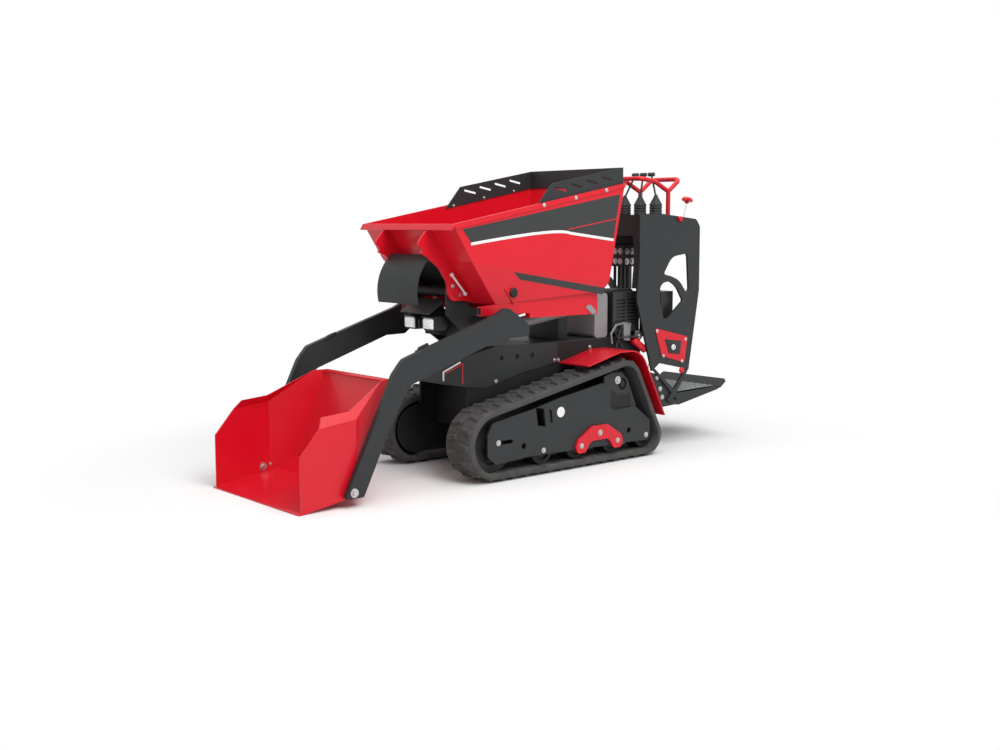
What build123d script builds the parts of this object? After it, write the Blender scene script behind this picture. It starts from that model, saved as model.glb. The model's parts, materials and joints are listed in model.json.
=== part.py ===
from build123d import *
import math
import os

# Tracked site dumper with a forward-tipping skip and a self-loading bucket.
# Working axes in millimetres: +X forward, +Y left, +Z up, z = 0 on the ground,
# x = 0 over the middle of the tracks. All pieces are shifted along X at the end
# so that the origin lies on the ground under the middle of the whole machine.

# Tracks
overall_width = 780.0
track_width = 180.0
track_outer = overall_width / 2
track_inner = track_outer - track_width
band_thickness = 27.0
lug_height = 13.0
lug_pitch = 80.0
lug_base_share = 0.52
lug_tip_share = 0.36
idler_x = 502.0
idler_radius = 132.0
sprocket_x = -325.0
sprocket_z = 377.0
sprocket_radius = 90.0
tail_x = -498.0
roller_radius = 63.0
roller_xs = [195.0, -25.5, -271.0]
rolling_gap = 0.4
belt_floor = lug_height + band_thickness

# Track frames
plate_thickness = 12.0
frame_outer = track_outer - 15.0
frame_inner = track_inner + 15.0
wheel_width = 90.0
axle_radius = 15.0
tie_hole_radius = 14.0
tie_holes = [(332.0, 146.0), (-362.0, 144.0)]
rocker_thickness = 12.0
rocker_pivot_x = -149.5
rocker_pivot_z = 156.0

# Chassis
sheet = 6.0
track_gap = 26.0
beam_half = track_inner - track_gap
beam_wall = 10.0
beam_floor = 200.0
beam_toe = 400.0
beam_front = 508.0
beam_rear = -640.0
deck_top = 590.0
box_half = beam_half + sheet
box_front = 526.0
box_rear = -49.0
slope_start = 350.0
front_top = 555.0
nose_front = 600.0
nose_top = 540.0
nose_half = box_half - 80.0
frame_holes = [310.0, 213.0, 116.0]
frame_hole_z = 534.0
frame_hole_radius = 12.0
engine_deck_rear = -882.0
hose_xs = (-715.0, -655.0)

# Loader arms
arm_outer = track_outer - 3.0
arm_plate = 25.0
arm_pivot_x = 430.0
arm_pivot_z = 710.0
arm_shaft_radius = 22.0

# Skip and its pivot
skip_half = arm_outer - arm_plate - 24.0
skip_wall = 4.0
rim_out = 6.0
rim_height = 22.0
lip_x = 712.0
lip_z = 1155.0
rear_top_x = -353.0
rear_top_z = 1351.0
skip_floor_half = skip_half - 38.0
pivot_x = 560.0
pivot_z = 850.0
pivot_pin_radius = 18.0
tower_inner = box_half - 52.0
tower_plate = 12.0
side_gap = 5.0
rib_plate = 12.0
guard_radius = 207.0
guard_sheet = 6.0
rib_inner = tower_inner + tower_plate + side_gap
guard_half = rib_inner - side_gap
lip_flange = 26.0
skip_beam_low = 745.0
board_sheet = 4.0
board_rise = 76.0
board_lap = 17.0

# Tipping cylinders
tip_base_x = 330.0
tip_base_z = 665.0
tip_eye_x = -178.0
tip_eye_z = 739.0
tip_barrel_radius = 27.0
tip_rod_radius = 15.0
tip_pin_radius = 12.0
tip_ear = 8.0
tip_eye_half = 20.0
rest_clearance = 20.0
tip_y = box_half - (tip_barrel_radius + side_gap + tip_ear)

# Bucket
bucket_half = arm_outer - arm_plate - 8.0
bucket_wall = 6.0
bucket_pin_x = 1271.0
bucket_pin_z = 64.0
bucket_pin_radius = 12.0
bucket_lip_x = 1505.0

# Console, platform and power unit
console_outer = beam_half + 66.0
console_plate = 12.0
console_top = 1205.0
console_deck_top = 1180.0
bay_half = console_outer - console_plate
platform_half = bay_half - 20.0
platform_lip_half = platform_half + 12.0
hinge_x = -860.0
hinge_z = 232.0
hinge_radius = 8.0
lamp_x = 608.0
lamp_z = 705.0
lamp_width = 78.0
lamp_depth = 86.0
lamp_height = 62.0
lamp_pin_radius = 6.0
lamp_post_inner = 8.5
lamp_post = 10.0
lamp_hood_half = 109.0
lamp_y = lamp_post_inner + lamp_post + 12.5 + lamp_width / 2
handle_radius = 12.0
handle_half = 100.0

# Fits
running_gap = 0.05
rest_gap = 0.5


def turn(vector, degrees):
    """Turn an (x, z) vector from +X towards +Z."""
    a = math.radians(degrees)
    x, z = vector
    return (x * math.cos(a) - z * math.sin(a), x * math.sin(a) + z * math.cos(a))


def corner_arc(before, corner, after, radius):
    """Start, middle and end of the arc that rounds one corner of an outline."""
    into = (before[0] - corner[0], before[1] - corner[1])
    out = (after[0] - corner[0], after[1] - corner[1])
    len_in, len_out = math.hypot(*into), math.hypot(*out)
    u = (into[0] / len_in, into[1] / len_in)
    v = (out[0] / len_out, out[1] / len_out)
    half = math.acos(max(-1.0, min(1.0, u[0] * v[0] + u[1] * v[1]))) / 2
    reach = min(radius / math.tan(half), 0.49 * len_in, 0.49 * len_out)
    r = reach * math.tan(half)
    mid = (u[0] + v[0], u[1] + v[1])
    size = math.hypot(*mid)
    to_middle = reach / math.cos(half) - r
    return (
        (corner[0] + u[0] * reach, corner[1] + u[1] * reach),
        (corner[0] + mid[0] / size * to_middle, corner[1] + mid[1] / size * to_middle),
        (corner[0] + v[0] * reach, corner[1] + v[1] * reach),
    )


def outline_face(points, y):
    """Flat face in the XZ plane at the given y; a third value rounds that corner."""
    edges = []
    stops = []
    count = len(points)
    for i, point in enumerate(points):
        here = point[:2]
        if len(point) > 2:
            stops.append(corner_arc(points[i - 1][:2], here, points[(i + 1) % count][:2], point[2]))
        else:
            stops.append((here, None, here))
    for i, (start, middle, end) in enumerate(stops):
        if middle:
            edges.append(ThreePointArc(*[(x, y, z) for x, z in (start, middle, end)]))
        after = stops[(i + 1) % count][0]
        if math.dist(end, after) > 1e-6:
            edges.append(Line((end[0], y, end[1]), (after[0], y, after[1])))
    return make_face(Wire(edges))


def plate(points, y0, y1):
    """Prism along Y of an XZ outline."""
    return extrude(outline_face(points, y0), amount=y1 - y0, dir=(0, 1, 0))


def bar_y(x, z, radius, y0, y1):
    """Round bar along Y."""
    return Pos(x, (y0 + y1) / 2, z) * Rot(90, 0, 0) * Cylinder(radius, abs(y1 - y0))


def block(x0, x1, y0, y1, z0, z1):
    """Rectangular block between two corners."""
    return Pos((x0 + x1) / 2, (y0 + y1) / 2, (z0 + z1) / 2) * Box(abs(x1 - x0), abs(y1 - y0), abs(z1 - z0))


def tube(points, radius, bend):
    """Bent round tube through 3-D points."""
    path = FilletPolyline(*points, radius=bend)
    return sweep(Plane(path @ 0, z_dir=path % 0) * Circle(radius), path=path)


def other_side(shape):
    """The same piece on the right-hand side."""
    return mirror(shape, Plane.XZ)


def both(shape):
    """A piece and its mirror image, as solids that don't touch."""
    return Compound([*shape.solids(), *other_side(shape).solids()])


def circles(extra):
    """Wheels that the track wraps, counter-clockwise, grown by the given amount."""
    return [
        (idler_x, belt_floor + idler_radius, idler_radius + extra),
        (sprocket_x, sprocket_z, sprocket_radius + extra),
        (tail_x, belt_floor + roller_radius, roller_radius + extra),
    ]


def belt_runs(extra):
    """Straight runs of a belt around the wheels, as pairs of tangent points."""
    wheels = circles(extra)
    runs = []
    for (xa, za, ra), (xb, zb, rb) in zip(wheels, wheels[1:] + wheels[:1]):
        d = math.hypot(xb - xa, zb - za)
        u = ((xb - xa) / d, (zb - za) / d)
        lean = (ra - rb) / d
        level = math.sqrt(1 - lean * lean)
        n = (u[0] * lean + u[1] * level, u[1] * lean - u[0] * level)
        runs.append(((xa + ra * n[0], za + ra * n[1]), (xb + rb * n[0], zb + rb * n[1]), n))
    return runs


def belt_face(extra, y):
    """Face enclosed by a belt around the wheels."""
    runs = belt_runs(extra)
    wheels = circles(extra)
    edges = []
    for i, (start, end, n) in enumerate(runs):
        edges.append(Line((start[0], y, start[1]), (end[0], y, end[1])))
        x, z, r = wheels[(i + 1) % 3]
        m = runs[(i + 1) % 3][2]
        mid = (n[0] + m[0], n[1] + m[1])
        size = math.hypot(*mid)
        after = runs[(i + 1) % 3][0]
        middle = (x + r * mid[0] / size, y, z + r * mid[1] / size)
        edges.append(ThreePointArc((end[0], y, end[1]), middle, (after[0], y, after[1])))
    return make_face(Wire(edges))


def belt_walk(extra):
    """Pieces of the belt's outer line: length, and a function giving point and normal."""
    runs = belt_runs(extra)
    wheels = circles(extra)
    pieces = []
    for i, (start, end, n) in enumerate(runs):
        length = math.dist(start, end)
        pieces.append((length, lambda s, a=start, b=end, n=n, size=length: (
            (a[0] + (b[0] - a[0]) * s / size, a[1] + (b[1] - a[1]) * s / size), n)))
        x, z, r = wheels[(i + 1) % 3]
        m = runs[(i + 1) % 3][2]
        first = math.atan2(n[1], n[0])
        sweep_angle = (math.atan2(m[1], m[0]) - first) % (2 * math.pi)
        pieces.append((r * sweep_angle, lambda s, x=x, z=z, r=r, first=first: (
            (x + r * math.cos(first + s / r), z + r * math.sin(first + s / r)),
            (math.cos(first + s / r), math.sin(first + s / r)))))
    return pieces


def belt_point(pieces, s):
    """Point and outward normal at a length along the belt."""
    s %= sum(length for length, _ in pieces)
    for length, at in pieces:
        if s <= length:
            return at(s)
        s -= length
    return pieces[0][1](0)


def lugged_ring(y0, y1, phase):
    """Rubber band with lugs in its outline, over part of the track's width."""
    pieces = belt_walk(band_thickness)
    total = sum(length for length, _ in pieces)
    count = round(total / lug_pitch)
    pitch = total / count
    rise = (lug_base_share - lug_tip_share) / 2
    points = []
    for k in range(count):
        for share, height in (
            (0, 0), (rise, lug_height), (rise + lug_tip_share, lug_height), (lug_base_share, 0),
            ((1 + lug_base_share) / 2, 0),
        ):
            (x, z), n = belt_point(pieces, (k + phase + share) * pitch)
            points.append((x + n[0] * height, z + n[1] * height))
    return plate(points, y0, y1)


def make_track():
    """Endless rubber track with two staggered rows of lugs."""
    middle = (track_inner + track_outer) / 2
    loop = lugged_ring(track_inner, middle, 0.0) + lugged_ring(middle, track_outer, 0.5)
    return loop - extrude(belt_face(0, track_inner - 1), amount=track_width + 2, dir=(0, 1, 0))


def frame_plate_outline():
    """Side plate of a track frame, open at the rear top around the drive."""
    return [
        (549, 120), (549, 217), (530, 255), (518, 271), (261, 314), (108, 348), (-178, 394),
        (-189, 377), (-190, 304), (-254, 255), (-407, 259), (-514, 181), (-513, 80, 30),
        (-440, 84), (304, 93), (502, 81, 20),
    ]


def make_track_frame():
    """Two side plates joined by a box beam, with the drive's mounting plate."""
    outer = plate(frame_plate_outline(), frame_outer - plate_thickness, frame_outer)
    inner = plate(frame_plate_outline(), frame_inner, frame_inner + plate_thickness)
    slot = plate([(399, 168, 8), (470, 168), (470, 186), (399, 186, 8)],
                 frame_outer - plate_thickness - 1, frame_outer + 1)
    port = plate([(259, 316), (209, 308), (196, 222), (246, 232)],
                 frame_outer - plate_thickness - 1, frame_outer + 1)
    slit = plate([(176, 300), (160, 297), (152, 236), (168, 239)],
                 frame_outer - plate_thickness - 1, frame_outer + 1)
    beam = block(-170, 180, frame_inner + plate_thickness, frame_outer - plate_thickness, 200, 290)
    mount_y = frame_outer - plate_thickness
    drive_mount = plate(
        [(-198, 300), (-198, 423), (-249, 437), (-319, 434),
         (-362, 394), (-423, 262), (-380, 225), (-215, 225)],
        mount_y - plate_thickness, mount_y)
    drive_mount -= bar_y(sprocket_x, sprocket_z, 30, mount_y - plate_thickness - 1, mount_y + 1)
    outer -= slot + port + slit
    for x, z in tie_holes:
        outer -= bar_y(x, z, tie_hole_radius, frame_outer - plate_thickness - 1, frame_outer + 1)
    return outer + inner + beam + drive_mount


def wheel(x, radius, y_mid, width):
    """Rubber-faced wheel with a dished hub on its axle, standing on the belt."""
    z = belt_floor + radius
    tread = radius - rolling_gap
    disc = bar_y(x, z, tread, y_mid - width / 2, y_mid + width / 2)
    dish = bar_y(x, z, tread * 0.72, y_mid + width / 2 - 12, y_mid + width / 2 + 1)
    hub = bar_y(x, z, tread * 0.36, y_mid + width / 2 - 13, y_mid + width / 2 - 2)
    axle = bar_y(x, z, axle_radius, frame_inner + plate_thickness, frame_outer - plate_thickness)
    return disc - dish + hub + axle


def make_idler():
    """Front tension wheel."""
    return wheel(idler_x, idler_radius, (frame_inner + frame_outer) / 2, wheel_width)


def make_rollers():
    """Road rollers along the ground run and the tail wheel."""
    middle = (frame_inner + frame_outer) / 2
    return Compound([
        wheel(x, roller_radius, middle, wheel_width) for x in [*roller_xs, tail_x]
    ])


def make_drive():
    """Toothed drive wheel at the track's rear top corner, with its motor behind and hub in front."""
    middle = (frame_inner + frame_outer) / 2
    outer = sprocket_radius - rolling_gap
    root = outer - 14
    teeth = 11
    points = []
    for k in range(teeth):
        for share, r in ((0.0, root), (0.2, outer), (0.5, outer), (0.7, root)):
            dx, dz = turn((r, 0), (k + share) * 360 / teeth)
            points.append((sprocket_x + dx, sprocket_z + dz))
    mount = frame_outer - 2 * plate_thickness
    motor = bar_y(sprocket_x, sprocket_z, 62, track_inner + 5, middle - 25)
    hub = bar_y(sprocket_x, sprocket_z, 48, middle + 15, mount)
    nut = bar_y(sprocket_x, sprocket_z, 16, mount, mount + plate_thickness)
    return plate(points, middle - 25, middle + 15) + motor + hub + nut


def make_rocker():
    """Curved rocker plate that carries two road rollers."""
    front, rear = roller_xs[1], roller_xs[2]
    z = belt_floor + roller_radius
    points = [
        (front + 38, z, 25), (front + 22, z + 34, 20), (rocker_pivot_x + 50, rocker_pivot_z + 38, 20),
        (rocker_pivot_x - 50, rocker_pivot_z + 38, 20), (rear - 22, z + 34, 20), (rear - 38, z, 25),
        (rear - 24, z - 32, 18), (rear + 26, z - 32, 18), (rocker_pivot_x - 60, z + 20, 40),
        (rocker_pivot_x + 60, z + 20, 40), (front - 26, z - 32, 18), (front + 24, z - 32, 18),
    ]
    return plate(points, frame_outer, frame_outer + rocker_thickness)


def make_fender():
    """Folded sheet over the rear of the track."""
    crest = [(-65, 487), (-282, 540), (-433, 540), (-612, 198)]
    inside = shifted_line(crest, sheet)
    crest[2] = (*crest[2], 120)
    inside[2] = (*inside[2], 120 - sheet)
    return plate(crest + inside[::-1], beam_half, track_outer - 2)


def chassis_top(x):
    """Height of the chassis top, which falls towards the front."""
    share = max(0.0, (x - slope_start) / (box_front - slope_start))
    return deck_top - share * (deck_top - front_top)


def make_beam_frame():
    """Main frame between the tracks with the cross tubes that carry both track frames."""
    front_x = box_front - sheet
    side = plate(
        [(beam_front, 300), (beam_front, 413), (front_x, 421), (front_x, chassis_top(front_x) - sheet),
         (slope_start, deck_top - sheet), (beam_rear, deck_top - sheet), (beam_rear, beam_floor),
         (beam_toe, beam_floor)],
        beam_half - beam_wall, beam_half)
    inner = beam_half - beam_wall
    floor = block(beam_rear, beam_toe, -inner, inner, beam_floor, beam_floor + 8)
    front = block(beam_toe - 8, beam_toe, -inner, inner, beam_floor, 480)
    rear = block(beam_rear, beam_rear + 8, -inner, inner, beam_floor, deck_top - sheet)
    frame = side + other_side(side) + floor + front + rear
    for x in (140.0, -140.0):
        frame += block(x - 30, x + 30, beam_half, frame_inner, 225, 285)
        frame += block(x - 30, x + 30, -beam_half, -frame_inner, 225, 285)
    return frame


def chassis_profile(inset):
    """Side outline of the upper chassis box; the inner one is open below and behind."""
    low = -40 if inset else 0
    rear = box_rear - inset
    front = box_front - inset
    return [
        (rear, 491 + low), (66, 470 + low), (162, 460 + low), (409, 400 + low), (front, 417 + low),
        (front, chassis_top(front) - inset), (slope_start, deck_top - inset), (rear, deck_top - inset),
    ]


def make_chassis_box():
    """Sheet box over the main frame with three round holes in each side."""
    box = plate(chassis_profile(0), -box_half, box_half)
    box -= plate(chassis_profile(sheet), -(box_half - sheet), box_half - sheet)
    for x in frame_holes:
        box -= bar_y(x, frame_hole_z, frame_hole_radius, -box_half - 1, box_half + 1)
    return box


def nose_form(inset, low):
    """Form of the nose, which tapers in plan and whose top falls to the front."""
    half, front = box_half - inset, nose_front - inset
    plan = make_face(Polyline(
        (box_front, half, 0), (front, nose_half - inset, 0), (front, -nose_half + inset, 0),
        (box_front, -half, 0), close=True))
    side = plate([(box_front, 417 - low), (front, 428 - low), (front, nose_top - inset),
                  (box_front, front_top - inset)], -half, half)
    return extrude(plan, amount=deck_top, dir=(0, 0, 1)) & side


def make_nose():
    """Tapered front cover of the chassis, open below."""
    return nose_form(0, 0) - nose_form(sheet, 40)


def make_rear_deck():
    """Flat deck behind the chassis box that carries the tank and the engine, open where the hoses pass."""
    front = block(-420, box_rear, -beam_half, beam_half, deck_top - sheet, deck_top)
    rear = block(engine_deck_rear, -420, -bay_half, bay_half, deck_top - sheet, deck_top)
    return front + rear - block(*hose_xs, -80, 80, deck_top - sheet - 1, deck_top + 1)


def make_pivot_cheek():
    """Side plate of the tower that leans forward, bored for the skip's pin and the arms' shaft."""
    y0, y1 = tower_inner, tower_inner + tower_plate
    cheek = plate([(338, deck_top), (slope_start, deck_top), (392, chassis_top(392)), (520, 672), (600, 745),
                   (pivot_x + 40, pivot_z + 40, 38), (pivot_x - 40, pivot_z + 40, 38), (516, 815), (450, 775),
                   (386, 775, 60), (386, 690)], y0, y1)
    cheek -= bar_y(pivot_x, pivot_z, pivot_pin_radius + running_gap, y0 - 1, y1 + 1)
    return cheek - bar_y(arm_pivot_x, arm_pivot_z, arm_shaft_radius + running_gap, y0 - 1, y1 + 1)


def make_pivot_frame():
    """Both cheeks of the tower with the web between them."""
    cheek = make_pivot_cheek()
    web = plate([(386, chassis_top(386)), (394, chassis_top(394)), (394, 750), (386, 750)],
                -tower_inner, tower_inner)
    return cheek + other_side(cheek) + web


def make_tip_ears():
    """Pair of ears with the base pin of a tipping cylinder."""
    reach = tip_barrel_radius + side_gap
    ears = bar_y(tip_base_x, tip_base_z, tip_pin_radius, tip_y - reach, tip_y + reach)
    for y in (tip_y - reach - tip_ear, tip_y + reach):
        ears += plate([(tip_base_x - 45, deck_top), (tip_base_x + 20, deck_top),
                       (tip_base_x + 26, tip_base_z + 26, 24), (tip_base_x - 26, tip_base_z + 26, 24)],
                      y, y + tip_ear)
    return ears


def make_rest_stop():
    """Post on the deck under the skip's cross beam, between the tipping cylinders."""
    half = tip_y - tip_eye_half - rest_clearance
    return block(-190, -130, -half, half, deck_top, skip_beam_low - rest_gap)


def make_tower():
    """Everything on the deck that the skip and the arms turn on or rest on."""
    pieces = [make_pivot_frame(), both(make_tip_ears()), make_rest_stop()]
    return Compound([solid for piece in pieces for solid in piece.solids()])


def make_rear_bracket():
    """Rear cross plate with the ears of the folding platform."""
    cross = block(beam_rear - 8, beam_rear, -bay_half, bay_half, 214, 430)
    ear = plate([(beam_rear - 8, 400), (-735, 375, 20), (hinge_x - 10, hinge_z + 26, 18),
                 (hinge_x - 24, hinge_z - 4, 14), (hinge_x - 8, hinge_z - 22, 14), (-755, 205, 15),
                 (beam_rear - 8, 230)],
                platform_half + 4, bay_half)
    ear -= bar_y(hinge_x, hinge_z, hinge_radius + running_gap, platform_half, console_outer)
    return cross + ear + other_side(ear)


def make_lamp_bracket():
    """Two arms from a cross plate in the tower, with the work lamps' pivots and a sloped hood."""
    y0, y1 = lamp_post_inner, lamp_post_inner + lamp_post
    arm = plate([(505, 640), (562, 668), (lamp_x + 28, lamp_z - 24, 12), (lamp_x + 28, lamp_z + 16, 12),
                 (lamp_x + 4, lamp_z + 32, 20), (592, 800), (578, 809), (505, 745)], y0, y1)
    arm -= bar_y(lamp_x, lamp_z, lamp_pin_radius + running_gap, y0 - 1, y1 + 1)
    hood = plate([(lamp_x + 64, 754), (578, 815), (575, 810), (lamp_x + 61, 749)],
                 -lamp_hood_half, lamp_hood_half)
    return arm + other_side(arm) + hood + block(497, 505, -tower_inner, tower_inner, 640, 745)


def make_lamp(side):
    """Boxy work lamp with a hood over its lens and a pivot pin on its inner side."""
    half = lamp_width / 2
    y0, y1 = lamp_y - half, lamp_y + half
    front = lamp_x + lamp_depth / 2
    back = lamp_x - lamp_depth / 2
    top, low = lamp_z + lamp_height / 2, lamp_z - lamp_height / 2
    body = plate([(back, low + 12, 6), (back + 14, low, 6), (front - 10, low), (front - 10, top - 14),
                  (front, top - 4), (front, top), (back + 14, top, 6), (back, top - 12, 6)], y0, y1)
    body -= block(front - 24, front + 1, y0 + 5, y1 - 5, low + 6, top - 6)
    pin = bar_y(lamp_x, lamp_z, lamp_pin_radius, lamp_post_inner, y0)
    lamp = body + pin
    return lamp if side > 0 else other_side(lamp)


def shifted_line(points, distance):
    """Open XZ line moved sideways to its left by a distance, with sharp corners."""
    lines = []
    for (xa, za), (xb, zb) in zip(points, points[1:]):
        d = math.dist((xa, za), (xb, zb))
        u = ((xb - xa) / d, (zb - za) / d)
        lines.append(((xa - u[1] * distance, za + u[0] * distance), u))
    moved = [lines[0][0]]
    for (p, u), (q, v) in zip(lines, lines[1:]):
        cross = u[0] * v[1] - u[1] * v[0]
        s = ((q[0] - p[0]) * v[1] - (q[1] - p[1]) * v[0]) / cross
        moved.append((p[0] + u[0] * s, p[1] + u[1] * s))
    (xa, za), (xb, zb) = points[-2:]
    p, u = lines[-1]
    length = math.dist((xa, za), (xb, zb))
    moved.append((p[0] + u[0] * length, p[1] + u[1] * length))
    return moved


def skip_sheet_line():
    """Side outline of the skip's sheet from the rear rim down and forward to the lip."""
    return [
        (rear_top_x, rear_top_z), (-341, 1304), (-249, 876), (-213, 834), (440, 795), (606, 991),
        (lip_x, lip_z),
    ]


def run_out(line, reach):
    """The same open line with both ends carried on by a distance."""
    def beyond(inner, end):
        d = math.dist(inner, end)
        return (end[0] + (end[0] - inner[0]) / d * reach, end[1] + (end[1] - inner[1]) / d * reach)
    return [beyond(line[1], line[0]), *line[1:-1], beyond(line[-2], line[-1])]


def skip_form(inset):
    """Form of the skip, whose lower sides lean inwards; the inner form runs out past its mouth."""
    line = skip_sheet_line()
    half = skip_half - inset
    if inset:
        line = run_out(shifted_line(line, inset), 60)
    body = plate(line, -half, half)
    fold_front = Vector(620, half, 991)
    fold_rear = Vector(-263, half, 871)
    foot = Vector(440, skip_floor_half - inset, 795)
    normal = (fold_rear - fold_front).cross(foot - fold_front).normalized()
    if normal.Y < 0:
        normal = normal * -1
    cutter = Plane(origin=fold_front, z_dir=normal) * Pos(0, 0, 500) * Box(6000, 6000, 1000)
    return body - cutter - other_side(cutter)


def make_skip_shell():
    """Hollow skip with an outer rim strip and a folded lip."""
    shell = skip_form(0) - skip_form(skip_wall)
    rim = plate([(lip_x, lip_z), (rear_top_x, rear_top_z), (rear_top_x + 4, rear_top_z - rim_height),
                 (lip_x - 14, lip_z - rim_height)], skip_half, skip_half + rim_out)
    lip = plate([(lip_x, lip_z), (lip_x + 16, lip_z - lip_flange), (lip_x + 12, lip_z - lip_flange - 2),
                 (lip_x - 8, lip_z - 12)], -skip_half - rim_out, skip_half + rim_out)
    inside = plate(skip_sheet_line(), -skip_half - 20, skip_half + 20)
    return shell + rim + other_side(rim) + (lip - inside)


def floor_line(x):
    """Height of the skip's floor underside."""
    return 795 + (834 - 795) * (440 - x) / (440 + 213)


def make_skip_subframe():
    """Two long beams, a rear cross beam and the tipping cylinders' lugs under the floor."""
    beam = plate([(522, 747), (522, 787), (440, floor_line(440)), (-205, floor_line(-205)), (-210, 784),
                  (-210, 723), (232, 725), (232, 747)], skip_floor_half - 30, skip_floor_half)
    reach = tip_barrel_radius + side_gap
    inner = tip_y - reach - tip_ear
    front, rear = -120, -205
    cross = plate([(front, skip_beam_low), (front, floor_line(front)), (rear, floor_line(rear)),
                   (rear, skip_beam_low)], -inner, inner)
    outline = [(rear, floor_line(rear)), (tip_eye_x - 26, tip_eye_z - 26, 24),
               (tip_eye_x + 26, tip_eye_z - 26, 24), (front, floor_line(front))]
    lug = plate(outline, inner, inner + tip_ear)
    outer_lug = plate(outline, tip_y + reach, tip_y + reach + tip_ear)
    frame = cross + lug + other_side(lug)
    return Compound([*frame.solids(), *both(beam).solids(), *both(outer_lug).solids()])


def make_skip_ribs():
    """Front brackets that carry the skip, joined by the pivot pin through the tower."""
    top = lip_z - lip_flange - 3
    under_lip = 606 + (lip_x - 606) * (top - 991) / (lip_z - 991)
    rib = plate([(under_lip, top), (lip_x + 15, top), (764, 1082, 20), (773, 1066, 10), (744, 1040, 14),
                 (758, 1027, 4), (721, 1011, 40), (655, 960, 80), (612, 896, 30),
                 (pivot_x + 44, pivot_z - 10, 20), (pivot_x + 24, pivot_z - 40, 20),
                 (pivot_x - 24, pivot_z - 40, 20), (478, 806, 20), (440, 795), (606, 991)],
                rib_inner, rib_inner + rib_plate)
    half = rib_inner + rib_plate + 8
    return rib + other_side(rib) + bar_y(pivot_x, pivot_z, pivot_pin_radius, -half, half)


def arc_band(radius, thickness, start, end, y0, y1):
    """Curved sheet about the skip's pivot between two angles above +X."""
    def at(r, degrees):
        dx, dz = turn((r, 0), degrees)
        return (pivot_x + dx, y0, pivot_z + dz)
    inner, outer = radius - thickness / 2, radius + thickness / 2
    middle = (start + end) / 2
    wire = Wire([
        ThreePointArc(at(outer, start), at(outer, middle), at(outer, end)),
        Line(at(outer, end), at(inner, end)),
        ThreePointArc(at(inner, end), at(inner, middle), at(inner, start)),
        Line(at(inner, start), at(outer, start)),
    ])
    return extrude(make_face(wire), amount=y1 - y0, dir=(0, 1, 0))


def make_skip_guard():
    """Curved guard that swings over the work lamps, hung between the ribs."""
    sheet_part = arc_band(guard_radius, guard_sheet, -14, 54, -guard_half, guard_half)
    hanger = arc_band(guard_radius, guard_sheet, 48, 54, -rib_inner, rib_inner)
    return sheet_part + hanger


def rim_z(x):
    """Height of the skip's rim, which rises from the lip to the rear."""
    return lip_z + (rear_top_z - lip_z) * (lip_x - x) / (lip_x - rear_top_x)


def make_skip_boards():
    """Raised boards bolted inside the rear half of the rim, slotted at the sides."""
    y1 = skip_half - skip_wall
    y0 = y1 - board_sheet
    rear = -343
    low, top = rim_z(rear) - board_lap + 5, rim_z(rear) + board_rise
    side = plate([(228, rim_z(228) - board_lap), (132, rim_z(132) + board_rise), (rear, top), (rear, low)],
                 y0, y1)
    for k in range(4):
        x = 107 - 100 * k
        z = rim_z(x) + 0.73 * board_rise
        side -= plate([(x, z + 5, 4), (x, z - 5, 4), (x - 76, z - 19, 4), (x - 76, z - 9, 4)], y0 - 1, y1 + 1)
    back = block(rear, rear + board_sheet, -y1, y1, low, top)
    return side + other_side(side) + back


def tip_frame():
    """Plane at the cylinder's base pin whose x axis points at the rod's eye."""
    along = (tip_eye_x - tip_base_x, 0, tip_eye_z - tip_base_z)
    return Plane(origin=(tip_base_x, tip_y, tip_base_z), x_dir=along, z_dir=(0, 1, 0))


def tip_bar(radius, start, end):
    """Round bar along a tipping cylinder between two lengths from its base pin."""
    return tip_frame() * Pos((start + end) / 2, 0, 0) * Rot(0, 90, 0) * Cylinder(radius, end - start)


def tip_length():
    """Closed length of a tipping cylinder from pin to pin."""
    return math.hypot(tip_eye_x - tip_base_x, tip_eye_z - tip_base_z)


def make_tip_barrels():
    """Barrels with a base eye, an end cap and a bore for the rod."""
    mouth = tip_length() - 62
    half = tip_barrel_radius
    eye = bar_y(tip_base_x, tip_base_z, half + 1, tip_y - half, tip_y + half)
    barrel = tip_bar(tip_barrel_radius, 20, mouth)
    cap = tip_bar(tip_barrel_radius + 3, mouth - 28, mouth)
    bore = tip_bar(tip_rod_radius + running_gap, 41, mouth + 1)
    pin_hole = bar_y(tip_base_x, tip_base_z, tip_pin_radius + running_gap, tip_y - 60, tip_y + 60)
    return both(barrel + cap + eye - bore - pin_hole)


def make_tip_rods():
    """Chromed rods with an eye at their end."""
    rod = tip_bar(tip_rod_radius, 44, tip_length() - 20)
    eye = bar_y(tip_eye_x, tip_eye_z, 26, tip_y - tip_eye_half, tip_y + tip_eye_half)
    hole = bar_y(tip_eye_x, tip_eye_z, tip_pin_radius, tip_y - 30, tip_y + 30)
    return both(rod + eye - hole)


def make_arm():
    """Cranked loader arm plate from its shaft boss to the bucket pin."""
    points = [
        (1314, 40, 12), (1067, 536, 60), (1015, 595, 40), (929, 623), (517, 753), (441, 789, 45),
        (312, 705, 40), (309, 652, 20), (423, 649), (459, 622, 20), (569, 620), (964, 489, 30),
        (1001, 462, 30), (1112, 266, 60), (1224, 40, 12),
    ]
    y0, y1 = arm_outer - arm_plate, arm_outer
    arm = plate(points, y0, y1)
    arm -= bar_y(bucket_pin_x, bucket_pin_z, bucket_pin_radius + running_gap, y0 - 1, y1 + 1)
    return arm - bar_y(arm_pivot_x, arm_pivot_z, arm_shaft_radius, y0 - 1, y1 + 1)


def make_arm_shaft():
    """Cross shaft that joins both arms through the posts on the deck."""
    return bar_y(arm_pivot_x, arm_pivot_z, arm_shaft_radius, -arm_outer, arm_outer)


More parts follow.
